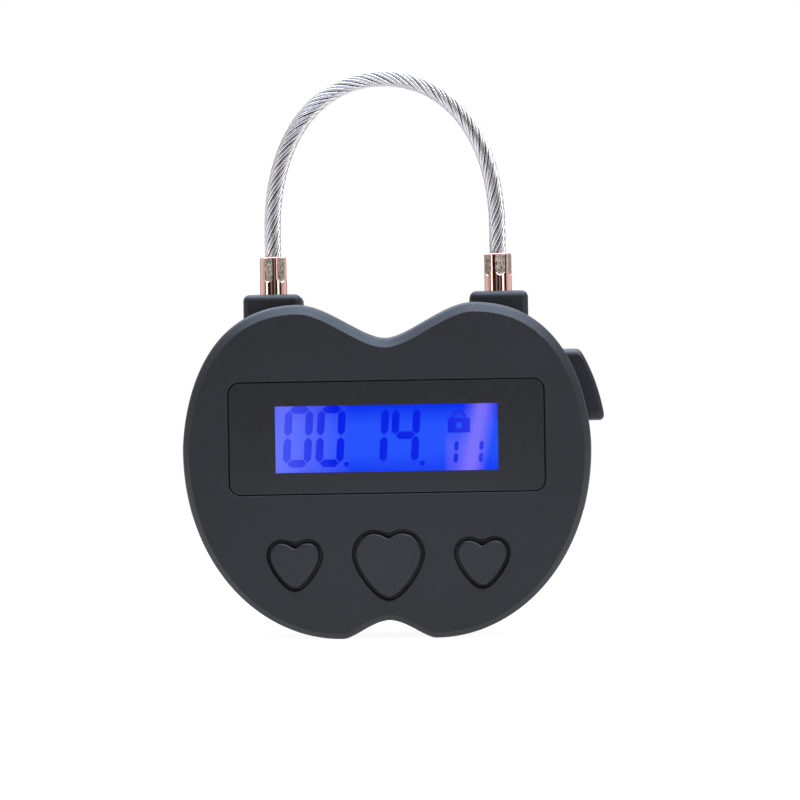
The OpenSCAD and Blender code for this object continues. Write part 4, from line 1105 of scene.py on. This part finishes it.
class PADLOCK_OT_power_button(bpy.types.Operator):
    """Makes the power button, a tab that follows the curve of the right side"""
    bl_idname = "padlock.power_button"
    bl_label = "Power button"

    # How far the tab stands out, how much less at its top, and the rounding of its ends
    PROUD, TAPER = 3.3, 0.35
    TOP_ROUND, LOW_ROUND = 1.2, 0.8
    # Reach of the flange inside the wall
    FLANGE = 0.9

    def side_x(self, grow):
        """Heights and distances of the upper right side, grown by a distance"""
        half = body_half()
        loop = mirrored(half)
        return [(p.y + grow * outward(loop, i).y, p.x + grow * outward(loop, i).x)
                for i, p in enumerate(half) if UPPER_SIDE[0] <= i <= UPPER_SIDE[1]]

    def reach(self, table, z):
        for (z1, x1), (z0, x0) in zip(table, table[1:]):
            if z0 <= z <= z1:
                return x0 + (x1 - x0) * (z - z0) / (z1 - z0)
        raise ValueError(f"no side wall at height {z}")

    def corner(self, before, point, after, r):
        """Points of an arc that rounds a corner"""
        a, b = (before - point).normalized(), (after - point).normalized()
        half = math.acos(max(-1, min(1, a.dot(b)))) / 2
        middle = point + (a + b).normalized() * r / math.sin(half)
        first, last = point + a * r / math.tan(half), point + b * r / math.tan(half)
        ways = [(first - middle).lerp(last - middle, k / 8).normalized() for k in range(9)]
        return [middle + r * way for way in ways]

    def profile(self, proud, low, high):
        table = self.side_x(proud)
        ends = 1.4

        def outside(z):
            up = (z - POWER_Z[0]) / (POWER_Z[1] - POWER_Z[0])
            return Vector((self.reach(table, z) - self.TAPER * max(0, up) ** 2, z))

        outer = [outside(high - ends + (low - high + 2 * ends) * k / 24) for k in range(25)]
        top, bottom = outside(high), outside(low)
        inner_top, inner_low = Vector((POWER_IN_X, high)), Vector((POWER_IN_X, low))
        loop = [inner_top] + self.corner(inner_top, top, outer[0], self.TOP_ROUND)
        loop += outer + self.corner(outer[-1], bottom, inner_low, self.LOW_ROUND) + [inner_low]
        return loop

    def execute(self, context):
        settings = context.scene.padlock_buttons
        r = settings.power_round / MM
        low_y, high_y = POWER_Y
        levels = []
        for k in range(17):
            deep = POWER_CORNER * (1 - math.cos(math.radians(90 * k / 16)))
            side = POWER_CORNER - math.sqrt(POWER_CORNER**2 - (POWER_CORNER - deep) ** 2)
            edge = r - math.sqrt(r**2 - max(0, r - deep) ** 2)
            loop = self.profile(self.PROUD - edge, POWER_Z[0] + side, POWER_Z[1] - side)
            levels.append((loop, deep))
        rings = [(loop, low_y + deep) for loop, deep in levels]
        rings += [(loop, high_y - deep) for loop, deep in reversed(levels)]
        tab = solid(rings)
        table = self.side_x(-WALL - 0.05)
        low = POWER_Z[0] - self.FLANGE
        high = min(POWER_Z[1] + self.FLANGE, max(z for z, x in table if x > POWER_IN_X + 0.02))
        flange = [Vector((POWER_IN_X, high))]
        flange += [Vector((self.reach(table, z), z)) for z in
                   [high + (low - high) * k / 16 for k in range(17)]]
        flange += [Vector((POWER_IN_X, low))]
        combine(tab, [slab(flange, low_y - self.FLANGE, high_y - 0.01)], "UNION")
        finished(tab, "power_tab", [button_finish(settings)], "power_button",
                 "power_button")
        return {"FINISHED"}


# ---- Inside
class PADLOCK_OT_inside(bpy.types.Operator):
    """Gives the parts inside the case their finishes"""
    bl_idname = "padlock.inside"
    bl_label = "Parts inside"

    def execute(self, context):
        steel = plain_metal("machined_steel", (0.55, 0.55, 0.57), 0.3, (1, 0.1, 1))
        pins = plain_metal("turned_steel", (0.62, 0.62, 0.64), 0.22, (1, 1, 8))
        screws = plain_metal("nickel_screw", (0.60, 0.59, 0.57), 0.28, (1, 6, 1))
        brass = plain_metal("cut_brass", (0.80, 0.58, 0.24), 0.25)
        zinc = plain_metal("cast_zinc", (0.42, 0.42, 0.44), 0.48, grain=1200, depth=0.00002)
        epoxy = plain_plastic("chip_epoxy", (0.02, 0.02, 0.022), 0.5)
        socket = plain_plastic("jack_plastic", (0.012, 0.012, 0.013), 0.38)
        plunger = plain_plastic("switch_plunger", (0.045, 0.04, 0.035), 0.45)
        red = plain_plastic("lead_cover", (0.50, 0.02, 0.02), 0.4)
        finishes = {
            self.board(): ["main_board"],
            epoxy: ["board_parts", "tact_switches", "power_switch"],
            socket: ["charging_jack"],
            plunger: ["hour_plunger", "lock_plunger", "minute_plunger", "power_plunger"],
            self.pouch(): ["battery"],
            self.foam(): ["battery_pad"],
            red: ["battery_leads", "motor_leads"],
            steel: ["latch_motor", "gear_bracket", "latch_bolt", "anchor_clip"],
            pins: ["motor_shaft", "gear_axle", "locking_pin", "anchor_pin"],
            brass: ["motor_pinion"],
            self.nylon(): ["reduction_gear"],
            zinc: ["lock_block", "anchor_block"],
            screws: ["case_screws", "board_screws", "block_screws", "bracket_screws"],
        }
        for material, nodes in finishes.items():
            for node in nodes:
                dress(node, material)
        return {"FINISHED"}

    def board(self):
        """Green solder mask over etched tracks"""
        made = Finish("solder_mask", Roughness=0.32, Coat_Weight=0.3)
        tracks = made.node("TexBrick", {
            "Vector": made.node("Mapping", {
                "Vector": made.place, "Rotation": (math.pi / 2, 0, 0)}).outputs[0],
            "Scale": 260, "Mortar Size": 0.06, "Brick Width": 0.9, "Row Height": 0.35,
        }).outputs["Fac"]
        made.drive("Base Color", made.ramp(
            tracks, [(0.4, (0.012, 0.11, 0.045)), (0.6, (0.025, 0.19, 0.075))]))
        made.bump(tracks, 0.00003)
        made.bump(made.noise(2000, 3), 0.000004)
        return made.material

    def pouch(self):
        """Crinkled foil"""
        made = Finish("battery_foil", Metallic=0.9)
        folds = made.noise(130, 5, 0.7)
        made.tint(folds, (0.52, 0.53, 0.55), 0.12)
        made.roughness(folds, 0.3, 0.45)
        made.bump(folds, 0.0003, 0.5)
        return made.material

    def foam(self):
        made = Finish("foam_tape", Roughness=0.95)
        cells = made.cells(2600)
        made.tint(cells, (0.03, 0.03, 0.03), 0.5)
        made.bump(cells, 0.0001)
        return made.material

    def nylon(self):
        made = Finish("gear_nylon", Subsurface_Weight=0.15, Subsurface_Scale=0.0008)
        specks = made.noise(1400, 3)
        made.tint(specks, (0.74, 0.72, 0.64), 0.04)
        made.roughness(specks, 0.38, 0.48)
        made.bump(specks, 0.00001)
        return made.material


class PADLOCK_PT_panel(bpy.types.Panel):
    """Lists the pieces of the padlock with their sizes and colours"""
    bl_idname = "PADLOCK_PT_panel"
    bl_label = "Timed Padlock"
    bl_space_type = "VIEW_3D"
    bl_region_type = "UI"
    bl_category = "Timed Padlock"

    def draw(self, context):
        for title, group, operators in LAYOUT:
            box = self.layout.box()
            box.label(text=title)
            settings = getattr(context.scene, group)
            for key in settings.__annotations__:
                box.prop(settings, key)
            for operator in operators:
                box.operator(operator.bl_idname)


GROUPS = {
    "padlock_stage": PadlockStage,
    "padlock_shackle": PadlockShackle,
    "padlock_body": PadlockBody,
    "padlock_display": PadlockDisplay,
    "padlock_buttons": PadlockButtons,
}
LAYOUT = [
    ("Stage", "padlock_stage", [PADLOCK_OT_stage]),
    ("Shackle", "padlock_shackle", [PADLOCK_OT_rope, PADLOCK_OT_ferrules]),
    ("Body", "padlock_body", [PADLOCK_OT_front_shell, PADLOCK_OT_rear_shell, PADLOCK_OT_inside]),
    ("Display", "padlock_display", [PADLOCK_OT_display]),
    ("Buttons", "padlock_buttons", [PADLOCK_OT_hearts, PADLOCK_OT_power_button]),
]
CLASSES = list(GROUPS.values()) + [o for _, _, row in LAYOUT for o in row] + [PADLOCK_PT_panel]


def register():
    for item in CLASSES:
        bpy.utils.register_class(item)
    for name, group in GROUPS.items():
        setattr(bpy.types.Scene, name, bpy.props.PointerProperty(type=group))


def unregister():
    for name in GROUPS:
        delattr(bpy.types.Scene, name)
    for item in reversed(CLASSES):
        bpy.utils.unregister_class(item)


def main():
    register()
    for _, _, operators in LAYOUT:
        for operator in operators:
            family, name = operator.bl_idname.split(".")
            getattr(getattr(bpy.ops, family), name)()


if __name__ == "__main__":
    main()
